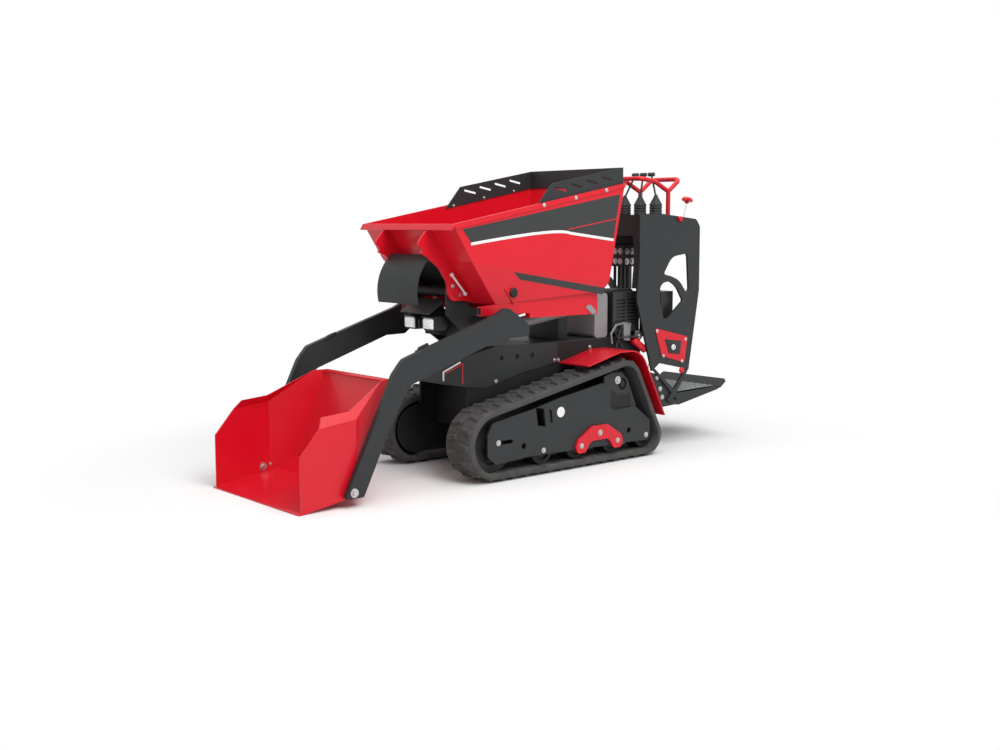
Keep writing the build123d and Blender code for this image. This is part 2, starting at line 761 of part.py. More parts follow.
def bucket_form(inset):
    """Form of the bucket, tapered at the rear, with its upper sides folded inwards."""
    sheet_line = [(990, 498), (1098, 180), (1125, 100), (1200, 46), (bucket_lip_x, 0)]
    mouth = [(bucket_lip_x, 234), (1412, 341), (1385, 381), (1253, 392), (1046, 495)]
    front = bucket_lip_x
    if inset:
        sheet_line = run_out(shifted_line(sheet_line, inset), 80)
        front = sheet_line[-1][0]
        mouth = [(front, sheet_line[0][1])]
    half = bucket_half - inset
    rear_half = bucket_half - 114 - inset
    body = plate(sheet_line + mouth, -half, half)
    plan = make_face(Polyline(
        (front, half, -100), (1235, half, -100), (990, rear_half, -100), (900, rear_half, -100),
        (900, -rear_half, -100), (990, -rear_half, -100), (1235, -half, -100), (front, -half, -100),
        close=True))
    fold_front, fold_rear = Vector(1412, half, 341), Vector(1219, half, 363)
    folded_edge = Vector(1385, half - 28, 381)
    normal = (fold_rear - fold_front).cross(folded_edge - fold_front).normalized()
    if normal.Y < 0:
        normal = normal * -1
    cutter = Plane(origin=fold_front, z_dir=normal) * Pos(0, 0, 500) * Box(6000, 6000, 1000)
    return (body & extrude(plan, amount=900, dir=(0, 0, 1))) - cutter - other_side(cutter)


def make_bucket_shell():
    """Open bucket of folded sheet."""
    return bucket_form(0) - bucket_form(bucket_wall)


def make_bucket_pins():
    """Pivot bolts that stand out of the bucket's sides into the arms."""
    pin = bar_y(bucket_pin_x, bucket_pin_z, bucket_pin_radius, bucket_half, arm_outer)
    return both(pin)


def make_console_side():
    """Tall side plate of the operator's console with two cut-outs and a crossed foot."""
    y0, y1 = bay_half, console_outer
    side = plate([(-555, console_top, 8), (-559, 974), (-541, 774, 60), (-661, 403), (-718, 440, 15),
                  (-925, 396, 10), (-945, 390), (-1018, 807, 60), (-1016, 1143, 30), (-985, 1180, 30),
                  (-733, console_top, 200)], y0, y1)
    upper = plate([(-738, 898, 10), (-800, 986, 80), (-920, 1002, 18), (-936, 812, 14), (-914, 800, 8),
                   (-858, 866, 150), (-790, 888, 150)], y0 - 1, y1 + 1)
    lower = plate([(-712, 848, 45), (-780, 862, 60), (-836, 836, 120), (-890, 757, 12), (-776, 670, 14),
                   (-744, 668, 14), (-716, 745, 40)], y0 - 1, y1 + 1)
    front_leg = plate([(-668, 425), (-640, 440), (-858, 236), (-884, 254)], y0, y1)
    rear_leg = plate([(-925, 396), (-950, 400), (-812, 224), (-782, 238)], y0, y1)
    return side - upper - lower + front_leg + rear_leg


def make_console_deck():
    """Control deck between the console's side plates with its front hood, side flanges and valve hanger."""
    deck = block(-975, -565, -bay_half, bay_half, console_deck_top - 8, console_deck_top)
    hood = block(-567, -560, -bay_half, bay_half, 1095, console_top - 4)
    line = [(-560, 1096), (-563, 974), (-550, 830)]
    flange = plate(line + shifted_line(line, -5)[::-1], bay_half - 34, bay_half)
    hanger = block(-704, -696, -70, 70, 1045, console_deck_top - 8)
    return deck + hood + flange + other_side(flange) + hanger


def make_console_panels():
    """Red access panels on the outside of the console's side plates."""
    panel = plate([(-676, 624, 8), (-730, 477, 8), (-906, 430, 8), (-929, 566, 8)],
                  console_outer, console_outer + 4)
    return both(panel)


def make_handle_bar():
    """Closed handle loop, dipped where its two legs meet it."""
    line = [(-1020, 0, 1390), (-1020, handle_half, 1390), (-931, handle_half, 1324),
            (-822, handle_half, 1376), (-720, handle_half, 1388), (-720, 0, 1388)]
    leg = Pos(-931, handle_half, console_deck_top) * Cylinder(
        handle_radius, 1324 - console_deck_top, align=(Align.CENTER, Align.CENTER, Align.MIN))
    side = tube(line, handle_radius, 30) + leg
    return side + other_side(side)


def make_boot(x, y):
    """Square rubber bellows that narrows towards its top."""
    ribs = 5
    rise = 24
    right = [(22, console_deck_top), (22, console_deck_top + 8)]
    for k in range(ribs):
        z = console_deck_top + 8 + rise * k
        right += [(20 - 2.6 * k, z), (13 - 1.8 * k, z + rise)]
    profile = right + [(-across, z) for across, z in right[::-1]]
    boot = plate(profile, -30, 30)
    return Pos(x, y, 0) * (boot & Rot(0, 0, 90) * boot)


def make_levers():
    """Control levers with bellows, leaning rods and cross knobs."""
    x = -823
    boot_top = console_deck_top + 124
    solids = []
    for y, knob_y in ((-111, -57), (0, 0), (111, 57)):
        foot, head = Vector(x, y, boot_top), Vector(x - 22, knob_y, 1412)
        along = head - foot
        rod = Plane(origin=foot, z_dir=along) * Pos(0, 0, along.length / 2) * Cylinder(5, along.length)
        knob = bar_y(x - 22, 1412, 11, knob_y - 20, knob_y + 20)
        solids += (make_boot(x, y) + rod + knob).solids()
    return Compound(solids)


def make_platform():
    """Folding footboard: a tread with a raised rear lip between two tapered side plates."""
    line = [(-884, 262), (-1228, 270), (-1246, 283)]
    tread = plate(line + shifted_line(line, sheet)[::-1], -platform_half, platform_half)
    gusset = plate([(-1240, 268), (-1229, 257), (-907, 201, 14), (hinge_x - 4, 208, 18),
                    (hinge_x + 18, hinge_z, 14), (hinge_x, 257, 14), (-886, 262)],
                   platform_half - 8, platform_half)
    slope = Plane(origin=(-1257, 0, 287), x_dir=(0, 1, 0), z_dir=(39, 0, 53))
    lip = extrude(slope * RectangleRounded(2 * platform_lip_half, 66, 14), amount=sheet, both=True)
    pin = bar_y(hinge_x, hinge_z, hinge_radius, -bay_half, bay_half)
    return tread + gusset + other_side(gusset) + lip + pin


def make_engine_block():
    """Engine with its crankcase, finned cylinder, air cleaner and carburettor."""
    left, right = bay_half - 73, bay_half - 63
    engine = block(-620, -412, -right, left, deck_top, 690) + block(-596, -470, -right + 20, 40, 690, 800)
    for k in range(6):
        engine += block(-606, -460, -right + 8, 52, 700 + 17 * k, 707 + 17 * k)
    cleaner = fillet(block(-606, -430, 60, left, 690, 826).edges().filter_by(Axis.Y), 26)
    return engine + cleaner + block(-470, -440, -60, 20, 690, 760)


def make_engine_shroud():
    """Recoil starter cover with louvres on the engine's left side."""
    inner, outer = bay_half - 73, bay_half - 38
    cover = block(-612, -420, inner, outer, 612, 815)
    for k in range(8):
        z = 650 + 17 * k
        cover -= block(-590, -525, outer - 10, outer + 1, z, z + 8)
        cover -= block(-507, -442, outer - 10, outer + 1, z, z + 8)
    return cover


def make_silencer():
    """Exhaust silencer on the engine's right side."""
    return Pos(-516, -(bay_half - 38), 665) * Rot(0, 90, 0) * Cylinder(24.9, 180)


def make_hydraulic_tank():
    """Grey oil tank in front of the engine."""
    half = beam_half - 5
    return fillet(block(-402, -312, -half, half, deck_top, 812).edges().filter_by(Axis.Y), 20)


def make_fuel_tank():
    """Dark tank inside the console."""
    return fillet(block(-878, -778, 40, bay_half - 38, deck_top, 805).edges().filter_by(Axis.Z), 15)


def make_valve_block():
    """Hydraulic control valve under the console's deck."""
    return block(-740, -620, -80, 80, 935, 1045)


def make_hoses():
    """Hoses from the control valve down through the deck to the rear of the main frame."""
    x = sum(hose_xs) / 2
    hoses = [tube([(x, y, 935), (x, y, 490), (beam_rear, y, 490)], 8, 22) for y in (-45, -15, 15, 45)]
    return Compound([solid for hose in hoses for solid in hose.solids()])


def build_nodes():
    """Every piece by its node name, in working axes."""
    track = make_track()
    track_frame = make_track_frame()
    fender = make_fender()
    arm = make_arm()
    console_side = make_console_side()
    return {
        "track_left": track,
        "track_right": other_side(track),
        "track_frame_left": track_frame,
        "track_frame_right": other_side(track_frame),
        "front_idlers": both(make_idler()),
        "road_rollers": both(make_rollers()),
        "drive_units": both(make_drive()),
        "roller_rockers": both(make_rocker()),
        "fender_left": fender,
        "fender_right": other_side(fender),
        "beam_frame": make_beam_frame(),
        "chassis_box": make_chassis_box(),
        "chassis_nose": make_nose(),
        "rear_deck": make_rear_deck(),
        "pivot_tower": make_tower(),
        "rear_bracket": make_rear_bracket(),
        "lamp_bracket": make_lamp_bracket(),
        "work_lamp_left": make_lamp(1),
        "work_lamp_right": make_lamp(-1),
        "engine_block": make_engine_block(),
        "engine_shroud": make_engine_shroud(),
        "silencer": make_silencer(),
        "hydraulic_tank": make_hydraulic_tank(),
        "fuel_tank": make_fuel_tank(),
        "valve_block": make_valve_block(),
        "hydraulic_hoses": make_hoses(),
        "console_side_left": console_side,
        "console_side_right": other_side(console_side),
        "console_deck": make_console_deck(),
        "console_panels": make_console_panels(),
        "handle_bar": make_handle_bar(),
        "control_levers": make_levers(),
        "platform": make_platform(),
        "skip_shell": make_skip_shell(),
        "skip_subframe": make_skip_subframe(),
        "skip_ribs": make_skip_ribs(),
        "skip_guard": make_skip_guard(),
        "skip_boards": make_skip_boards(),
        "tip_barrels": make_tip_barrels(),
        "tip_rods": make_tip_rods(),
        "arm_left": arm,
        "arm_right": other_side(arm),
        "arm_shaft": make_arm_shaft(),
        "bucket_shell": make_bucket_shell(),
        "bucket_pins": make_bucket_pins(),
    }


def middle_x(nodes):
    """Middle of the whole machine along X."""
    boxes = [shape.bounding_box() for shape in nodes.values()]
    return (min(box.min.X for box in boxes) + max(box.max.X for box in boxes)) / 2


def main():
    """Write one file for each piece, with the origin under the middle of the machine."""
    os.makedirs("parts", exist_ok=True)
    nodes = build_nodes()
    shift = middle_x(nodes)
    for name, shape in nodes.items():
        export_step(Pos(-shift, 0, 0) * shape, f"parts/{name}.step")


if __name__ == "__main__":
    main()
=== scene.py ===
import json
import math

import bmesh
import bpy
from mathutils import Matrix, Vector


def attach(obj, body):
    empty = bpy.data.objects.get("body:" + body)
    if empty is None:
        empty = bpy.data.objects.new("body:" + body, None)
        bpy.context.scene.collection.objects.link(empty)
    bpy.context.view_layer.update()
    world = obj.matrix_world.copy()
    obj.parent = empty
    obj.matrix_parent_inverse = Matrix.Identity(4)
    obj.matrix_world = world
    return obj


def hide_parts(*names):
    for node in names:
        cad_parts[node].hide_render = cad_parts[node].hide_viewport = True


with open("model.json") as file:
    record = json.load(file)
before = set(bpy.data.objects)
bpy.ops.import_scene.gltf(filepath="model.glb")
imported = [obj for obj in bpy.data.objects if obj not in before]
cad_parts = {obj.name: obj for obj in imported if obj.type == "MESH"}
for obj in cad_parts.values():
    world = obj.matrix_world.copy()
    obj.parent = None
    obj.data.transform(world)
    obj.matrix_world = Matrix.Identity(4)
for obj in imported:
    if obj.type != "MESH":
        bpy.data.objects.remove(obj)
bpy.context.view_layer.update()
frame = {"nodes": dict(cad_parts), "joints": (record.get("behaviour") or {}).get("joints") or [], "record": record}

jointAt = {j["name"]: j.get("pos_m") for j in frame["joints"]}

# the drawing is in millimetres ahead of the tracks' middle, where the skip's pin is at 560
skipPin = dict(x=560.0, z=850.0)
shift = skipPin["x"] - jointAt["skip_tip"][0] * 1000
scene = bpy.context.scene


def at(x, y, z):
    return Vector(((x - shift) / 1000, y / 1000, z / 1000))


# node helpers

def fill(tree, node, inputs):
    for key, value in inputs.items():
        if isinstance(value, bpy.types.NodeSocket):
            tree.links.new(value, node.inputs[key])
        else:
            node.inputs[key].default_value = value
    return node


def addNode(tree, kind, inputs=None, **settings):
    node = tree.nodes.new(kind)
    for key, value in settings.items():
        setattr(node, key, value)
    return fill(tree, node, inputs or {})


def remap(tree, value, span, result=(0.0, 1.0), **settings):
    # inputs 1 to 4 of the node are the ends of the span and of the result
    ends = dict(enumerate((*span, *result), 1))
    return addNode(tree, "ShaderNodeMapRange", {"Value": value, **ends}, **settings).outputs["Result"]


def combine(tree, operation, first, second):
    return addNode(tree, "ShaderNodeMath", {0: first, 1: second}, operation=operation).outputs["Value"]


def speckle(tree, scale, detail):
    coord = addNode(tree, "ShaderNodeTexCoord")
    node = addNode(tree, "ShaderNodeTexNoise", {"Vector": coord.outputs["Object"], "Scale": scale, "Detail": detail})
    return node.outputs["Fac"]


def newGroup(name, inputs, outputs):
    tree = bpy.data.node_groups.new(name, "ShaderNodeTree")
    for label, kind, value in inputs:
        tree.interface.new_socket(label, in_out="INPUT", socket_type=kind).default_value = value
    for label, kind in outputs:
        tree.interface.new_socket(label, in_out="OUTPUT", socket_type=kind)
    return tree, tree.nodes.new("NodeGroupInput"), tree.nodes.new("NodeGroupOutput")


effects = dict(
    grain=dict(scale=900.0, detail=2.0, patchScale=6.0, patchDetail=5.0, patchSpan=(0.3, 0.7), gloss=(0.3, 0.4)),
    edge=dict(width=0.002, samples=4, turned=(0.99, 0.80), breakScale=60.0, breakDetail=4.0, breakSpan=(0.45, 0.65)),
    dust=dict(top=0.5, amount=0.3, facing=(0.2, 1.0), onSides=0.35, cloudScale=22.0, cloudDetail=6.0,
              cloudSpan=(0.35, 0.75)),
)


def makeGrainGroup(spec):
    # small uneven colour, gloss and surface of a sprayed or moulded skin
    tree, given, out = newGroup(
        "sprayGrain",
        [("Scale", "NodeSocketFloat", spec["scale"]), ("Patch scale", "NodeSocketFloat", spec["patchScale"]),
         ("Gloss low", "NodeSocketFloat", spec["gloss"][0]), ("Gloss high", "NodeSocketFloat", spec["gloss"][1])],
        [("Patch", "NodeSocketFloat"), ("Roughness", "NodeSocketFloat"), ("Height", "NodeSocketFloat")])
    fine = speckle(tree, given.outputs["Scale"], spec["detail"])
    patch = speckle(tree, given.outputs["Patch scale"], spec["patchDetail"])
    gloss = remap(tree, patch, spec["patchSpan"], (given.outputs["Gloss low"], given.outputs["Gloss high"]))
    fill(tree, out, {"Patch": patch, "Roughness": gloss, "Height": fine})
    return tree


def makeEdgeGroup(spec):
    # worn line where two faces meet, broken up by noise, and the softly rounded normal of that edge
    tree, given, out = newGroup(
        "edgeRub",
        [("Width", "NodeSocketFloat", spec["width"]), ("Breakup", "NodeSocketFloat", spec["breakScale"])],
        [("Mask", "NodeSocketFloat"), ("Normal", "NodeSocketVector")])
    soft = addNode(tree, "ShaderNodeBevel", {"Radius": given.outputs["Width"]}, samples=spec["samples"])
    flat = addNode(tree, "ShaderNodeNewGeometry")
    lean = addNode(tree, "ShaderNodeVectorMath", {0: soft.outputs["Normal"], 1: flat.outputs["Normal"]},
                   operation="DOT_PRODUCT")
    edge = remap(tree, lean.outputs["Value"], spec["turned"])
    broken = remap(tree, speckle(tree, given.outputs["Breakup"], spec["breakDetail"]), spec["breakSpan"])
    fill(tree, out, {"Mask": combine(tree, "MULTIPLY", edge, broken), "Normal": soft.outputs["Normal"]})
    return tree


def makeDustGroup(spec):
    # pale dust that lies on faces that look up and gathers near the ground
    tree, given, out = newGroup(
        "yardDust",
        [("Top", "NodeSocketFloat", spec["top"]), ("Amount", "NodeSocketFloat", spec["amount"])],
        [("Mask", "NodeSocketFloat")])
    coord = addNode(tree, "ShaderNodeTexCoord")
    flat = addNode(tree, "ShaderNodeNewGeometry")
    place = addNode(tree, "ShaderNodeSeparateXYZ", {"Vector": coord.outputs["Object"]})
    facing = addNode(tree, "ShaderNodeSeparateXYZ", {"Vector": flat.outputs["Normal"]})
    low = remap(tree, place.outputs["Z"], (given.outputs["Top"], 0.0))
    up = remap(tree, facing.outputs["Z"], spec["facing"], (spec["onSides"], 1.0))
    cloud = remap(tree, speckle(tree, spec["cloudScale"], spec["cloudDetail"]), spec["cloudSpan"])
    mask = combine(tree, "MULTIPLY", combine(tree, "MULTIPLY", low, up), cloud)
    fill(tree, out, {"Mask": combine(tree, "MULTIPLY", mask, given.outputs["Amount"])})
    return tree


sprayGrain = makeGrainGroup(effects["grain"])
edgeRub = makeEdgeGroup(effects["edge"])
yardDust = makeDustGroup(effects["dust"])
print("shared effects ready")


def useGroup(tree, group, **values):
    return addNode(tree, "ShaderNodeGroup", values, node_tree=group)


def mixColor(tree, mask, first, second):
    node = tree.nodes.new("ShaderNodeMix")
    node.data_type = "RGBA"
    tree.links.new(mask, node.inputs["Factor"])
    for key, value in (("A", first), ("B", second)):
        socket = next(s for s in node.inputs if s.name == key and s.type == "RGBA")
        if isinstance(value, bpy.types.NodeSocket):
            tree.links.new(value, socket)
        else:
            socket.default_value = (*value, 1)
    return next(s for s in node.outputs if s.type == "RGBA")


# one row for each finish: colours are linear
finishes = {
    "redPaint": dict(color=(0.66, 0.004, 0.018), deep=(0.60, 0.003, 0.014), rub=(0.75, 0.05, 0.06), gloss=(0.30, 0.40),
                     grain=700.0, bump=0.02, edge=0.0014, rubAmount=0.12, dust=0.02, coat=0.1, shine=0.36),
    "darkPaint": dict(color=(0.026, 0.029, 0.031), deep=(0.021, 0.024, 0.025), rub=(0.10, 0.105, 0.11),
                      gloss=(0.40, 0.52), grain=1300.0, bump=0.06, edge=0.0016, rubAmount=0.25, dust=0.04, shine=0.28),
    "chassisPaint": dict(color=(0.024, 0.026, 0.028), deep=(0.019, 0.021, 0.022), rub=(0.09, 0.092, 0.095),
                         gloss=(0.40, 0.55), grain=1300.0, bump=0.06, edge=0.0016, rubAmount=0.22, dust=0.06,
                         shine=0.34),
    # near-black copy of chassisPaint: on the beam frame, the track loops' inner plates, the skip's front, the tube ends
    # and the drive pocket it is painted shade
    "underPaint": dict(color=(0.012, 0.013, 0.014), deep=(0.008, 0.009, 0.010), rub=(0.06, 0.06, 0.062),
                       gloss=(0.48, 0.62), grain=1300.0, bump=0.06, edge=0.0016, rubAmount=0.2, dust=0.06, shine=0.28),
    "trackRubber": dict(color=(0.052, 0.052, 0.051), deep=(0.034, 0.034, 0.034), rub=(0.10, 0.10, 0.098),
                        gloss=(0.70, 0.88), grain=420.0, bump=0.22, edge=0.004, rubAmount=0.6, dust=0.45),
    "wheelIron": dict(color=(0.014, 0.0145, 0.015), deep=(0.009, 0.0095, 0.010), rub=(0.09, 0.09, 0.09),
                      gloss=(0.45, 0.62), grain=600.0, bump=0.10, edge=0.002, rubAmount=0.4, dust=0.14, shine=0.3),
    "blackPlastic": dict(color=(0.016, 0.017, 0.018), deep=(0.010, 0.011, 0.012), rub=(0.06, 0.06, 0.06),
                         gloss=(0.38, 0.50), grain=1600.0, bump=0.08, edge=0.0015, rubAmount=0.3, dust=0.06),
    "bootRubber": dict(color=(0.040, 0.041, 0.042), deep=(0.026, 0.027, 0.028), rub=(0.07, 0.07, 0.07),
                       gloss=(0.62, 0.78), grain=900.0, bump=0.12, edge=0.0015, rubAmount=0.3, dust=0.05),
    "zincSteel": dict(color=(0.62, 0.62, 0.61), deep=(0.48, 0.48, 0.47), rub=(0.80, 0.80, 0.80), gloss=(0.29, 0.40),
                      grain=800.0, bump=0.03, edge=0.001, rubAmount=0.4, dust=0.05, metal=1.0),
    "chromeRod": dict(color=(0.78, 0.78, 0.79), deep=(0.70, 0.70, 0.71), rub=(0.9, 0.9, 0.9), gloss=(0.08, 0.16),
                      grain=900.0, bump=0.0, edge=0.001, rubAmount=0.1, dust=0.0, metal=1.0),
    "castAlloy": dict(color=(0.30, 0.30, 0.30), deep=(0.20, 0.20, 0.20), rub=(0.55, 0.55, 0.55), gloss=(0.42, 0.58),
                      grain=500.0, bump=0.15, edge=0.002, rubAmount=0.5, dust=0.05, metal=0.85),
    "cylinderGrey": dict(color=(0.26, 0.265, 0.27), deep=(0.20, 0.205, 0.21), rub=(0.5, 0.5, 0.5), gloss=(0.30, 0.42),
                         grain=900.0, bump=0.03, edge=0.0015, rubAmount=0.3, dust=0.05),
    "tankGrey": dict(color=(0.27, 0.275, 0.28), deep=(0.22, 0.225, 0.23), rub=(0.5, 0.5, 0.5), gloss=(0.34, 0.46),
                     grain=900.0, bump=0.04, edge=0.002, rubAmount=0.3, dust=0.05),
    "whiteFilm": dict(color=(0.80, 0.80, 0.79), deep=(0.74, 0.74, 0.73), rub=(0.6, 0.6, 0.6), gloss=(0.34, 0.46),
                      grain=1500.0, bump=0.01, edge=0.0004, rubAmount=0.2, dust=0.03),
    "darkFilm": dict(color=(0.036, 0.038, 0.039), deep=(0.030, 0.032, 0.033), rub=(0.10, 0.10, 0.10),
                     gloss=(0.36, 0.48), grain=1500.0, bump=0.01, edge=0.0004, rubAmount=0.2, dust=0.03, shine=0.32),
    "redFilm": dict(color=(0.60, 0.006, 0.014), deep=(0.52, 0.004, 0.010), rub=(0.6, 0.1, 0.1), gloss=(0.34, 0.46),
                    grain=1500.0, bump=0.01, edge=0.0004, rubAmount=0.2, dust=0.03),
    "gripPlate": dict(color=(0.17, 0.175, 0.18), deep=(0.11, 0.115, 0.12), rub=(0.42, 0.42, 0.42), gloss=(0.36, 0.55),
                      grain=700.0, bump=0.10, edge=0.0015, rubAmount=0.6, dust=0.15, metal=0.5),
}
skin = dict(dustColor=(0.30, 0.28, 0.25), bumpDepth=0.001, coatRoughness=0.08, shine=0.5)


def newMaterial(name):
    material = bpy.data.materials.new(name)
    material.use_nodes = True
    return material, material.node_tree, material.node_tree.nodes["Principled BSDF"]


def makeFinish(name, spec):
    material, tree, shader = newMaterial(name)
    grain = useGroup(tree, sprayGrain, **{"Scale": spec["grain"], "Gloss low": spec["gloss"][0],
                                          "Gloss high": spec["gloss"][1]})
    edge = useGroup(tree, edgeRub, Width=spec["edge"])
    dust = useGroup(tree, yardDust, Amount=spec["dust"])
    base = mixColor(tree, grain.outputs["Patch"], spec["deep"], spec["color"])
    rubbed = combine(tree, "MULTIPLY", edge.outputs["Mask"], spec["rubAmount"])
    worn = mixColor(tree, rubbed, base, spec["rub"])
    dusty = mixColor(tree, dust.outputs["Mask"], worn, skin["dustColor"])
    bump = addNode(tree, "ShaderNodeBump", {"Height": grain.outputs["Height"], "Normal": edge.outputs["Normal"],
                                            "Strength": spec["bump"], "Distance": skin["bumpDepth"]})
    fill(tree, shader, {
        "Base Color": dusty, "Roughness": grain.outputs["Roughness"], "Normal": bump.outputs["Normal"],
        "Metallic": spec.get("metal", 0.0), "Coat Weight": spec.get("coat", 0.0),
        "Coat Roughness": skin["coatRoughness"], "Specular IOR Level": spec.get("shine", skin["shine"])})
    return material


finish = {name: makeFinish(name, spec) for name, spec in finishes.items()}
lensSpec = dict(cellsPerMetre=60.0, lineWidth=0.08, bright=(0.86, 0.87, 0.88), line=(0.55, 0.56, 0.58), glow=0.25,
                roughness=0.15, coat=0.6)


def makeLampLens(spec):
    # clear front over bright cells
    material, tree, shader = newMaterial("lampLens")
    coord = addNode(tree, "ShaderNodeTexCoord")
    cells = addNode(tree, "ShaderNodeTexVoronoi", {"Vector": coord.outputs["Object"], "Scale": spec["cellsPerMetre"]},
                    feature="DISTANCE_TO_EDGE")
    line = remap(tree, cells.outputs["Distance"], (0.0, spec["lineWidth"]), (1.0, 0.0))
    tint = mixColor(tree, line, spec["bright"], spec["line"])
    fill(tree, shader, {"Base Color": tint, "Emission Color": tint, "Emission Strength": spec["glow"],
                        "Roughness": spec["roughness"], "Coat Weight": spec["coat"]})
    return material


finish["lampLens"] = makeLampLens(lensSpec)
print("finishes", len(finish))


# CAD pieces take the finish of their slot, apart from those named below
slotFinish = {
    "red_paint": "redPaint", "grey_paint": "darkPaint", "rubber": "trackRubber", "wheel_iron": "wheelIron",
    "black_plastic": "blackPlastic", "engine_metal": "castAlloy", "steel": "zincSteel", "tank_grey": "tankGrey",
    "cylinder_grey": "cylinderGrey", "chrome": "chromeRod",
}
nodeFinish = {
    # the beam frame takes the near-black copy of the chassis paint as painted shade for the shadow under the machine
    "chassis_box": "chassisPaint", "chassis_nose": "chassisPaint", "beam_frame": "underPaint",
    "rear_deck": "chassisPaint", "rear_bracket": "chassisPaint", "engine_block": "chassisPaint",
    "valve_block": "wheelIron", "silencer": "castAlloy", "arm_shaft": "darkPaint", "hydraulic_hoses": "bootRubber",
}
slotOf = {row["node"]: row["material_slot"] for row in frame["record"]["subparts"]}
for node, piece in frame["nodes"].items():
    piece.data.materials.clear()
    piece.data.materials.append(finish[nodeFinish.get(node, slotFinish[slotOf[node]])])
print("finished CAD pieces", len(slotOf))


# mesh helpers: outlines are in millimetres

def addRings(bm, rings, closed=False):
    # skin over rings of points that have the same count; open rows get a face at each end
    rows = [[bm.verts.new(point) for point in ring] for ring in rings]
    count = len(rows[0])
    pairs = list(zip(rows, rows[1:] + rows[:1])) if closed else list(zip(rows, rows[1:]))
    for low, high in pairs:
        for k in range(count):
            n = (k + 1) % count
            bm.faces.new((low[k], low[n], high[n], high[k]))
    if not closed:
        bm.faces.new(rows[0][::-1])
        bm.faces.new(rows[-1])


def addPrism(bm, outline, y0, y1):
    addRings(bm, [[at(x, y, z) for x, z in outline] for y in (y0, y1)])


def addLathe(bm, origin, axis, profile, steps, lobes=0, wave=0.0):
    # profile rows are (radius, distance along the axis); lobes and wave make a star grip
    turn = Vector((0, 0, 1)).rotation_difference(Vector(axis)).to_matrix()
    rings = []
    for radius, along in profile:
        ring = []
        for k in range(steps):
            a = 2 * math.pi * k / steps
            r = radius * (1 + wave * math.cos(lobes * a))
            ring.append(at(*origin) + turn @ Vector((r * math.cos(a), r * math.sin(a), along)) / 1000)
        rings.append(ring)
    addRings(bm, rings)


def addBar(bm, start, end, radius, steps=16):
    a, b = Vector(start), Vector(end)
    addLathe(bm, start, (b - a).normalized(), [(radius, 0), (radius, (b - a).length)], steps)


def addObject(name, data):
    made = bpy.data.objects.new(name, data)
    scene.collection.objects.link(made)
    return made


def meshObject(name, bm):
    bmesh.ops.recalc_face_normals(bm, faces=bm.faces)
    mesh = bpy.data.meshes.new(name)
    bm.to_mesh(mesh)
    bm.free()
    return addObject(name, mesh)


def settle(piece):
    # turns what the modifiers make into the piece's own mesh
    graph = bpy.context.evaluated_depsgraph_get()
    made = bpy.data.meshes.new_from_object(piece.evaluated_get(graph))
    piece.modifiers.clear()
    piece.data = made


softEdge = dict(segments=2, angle=40.0)


def soften(piece, width):
    mod = piece.modifiers.new("soften", "BEVEL")
    mod.width = width / 1000
    mod.segments = softEdge["segments"]
    mod.limit_method = "ANGLE"
    mod.angle_limit = math.radians(softEdge["angle"])
    settle(piece)


def finishPiece(name, bm, look, body, slot, bevel=0.0, smooth=35.0):
    # bevel is in millimetres; edges that turn by more than smooth degrees stay sharp
    piece = meshObject(name, bm)
    if bevel:
        soften(piece, bevel)
    piece.data.materials.append(finish[look])
    piece.data.set_sharp_from_angle(angle=math.radians(smooth))
    for face in piece.data.polygons:
        face.use_smooth = True
    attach(piece, body)
    return piece


def bothSides(build):
    for side in (1, -1):
        build(side, "left" if side > 0 else "right")


def addPlate(side, word, name, outline, face, look, body, slot, thickness=0.5, **more):
    # plate on a face at the given distance from the middle
    bm = bmesh.new()
    addPrism(bm, outline, side * face, side * (face + thickness))
    finishPiece(f"{name}_{word}", bm, look, body, slot, **more)


def addFilm(*row):
    # thin plate on both sides
    bothSides(lambda side, word: addPlate(side, word, *row))


def addButton(side, word, name, origin, profile, look, body, slot, steps=28):
    # turned piece with its axis outwards
    bm = bmesh.new()
    x, y, z = origin
    addLathe(bm, (x, side * y, z), (0, side, 0), profile, steps)
    finishPiece(f"{name}_{word}", bm, look, body, slot, smooth=30.0)


# trees that put a shape on each marked point, upright along the point's aim

def startTree(name, sockets):
    tree = bpy.data.node_groups.new(name, "GeometryNodeTree")
    for label, kind, value in (("Points", "NodeSocketGeometry", None), *sockets,
                               ("Finish", "NodeSocketMaterial", None)):
        socket = tree.interface.new_socket(label, in_out="INPUT", socket_type=kind)
        if value is not None:
            socket.default_value = value
    tree.interface.new_socket("Pieces", in_out="OUTPUT", socket_type="NodeSocketGeometry")
    given = tree.nodes.new("NodeGroupInput")
    aim = addNode(tree, "GeometryNodeInputNamedAttribute", {"Name": "aim"}, data_type="FLOAT_VECTOR")
    amount = addNode(tree, "GeometryNodeInputNamedAttribute", {"Name": "amount"}, data_type="FLOAT")
    upright = addNode(tree, "FunctionNodeAlignRotationToVector", {"Vector": aim.outputs["Attribute"]}, axis="Z")
    return tree, given, upright.outputs["Rotation"], amount.outputs["Attribute"]


def endTree(tree, given, shape, turn, scale):
    points = addNode(tree, "GeometryNodeMeshToPoints", {"Mesh": given.outputs["Points"]})
    placed = addNode(tree, "GeometryNodeInstanceOnPoints", {"Points": points.outputs["Points"], "Instance": shape,
                                                            "Rotation": turn, "Scale": scale})
    real = addNode(tree, "GeometryNodeRealizeInstances", {"Geometry": placed.outputs["Instances"]})
    dressed = addNode(tree, "GeometryNodeSetMaterial", {"Geometry": real.outputs["Geometry"],
                                                        "Material": given.outputs["Finish"]})
    addNode(tree, "NodeGroupOutput", {"Pieces": dressed.outputs["Geometry"]})
    return tree


boltSpec = dict(headRadius=0.009, headHeight=0.006, headTop=0.86, headSides=6, washerRadius=0.013, washerHeight=0.002,
                washerSides=20)


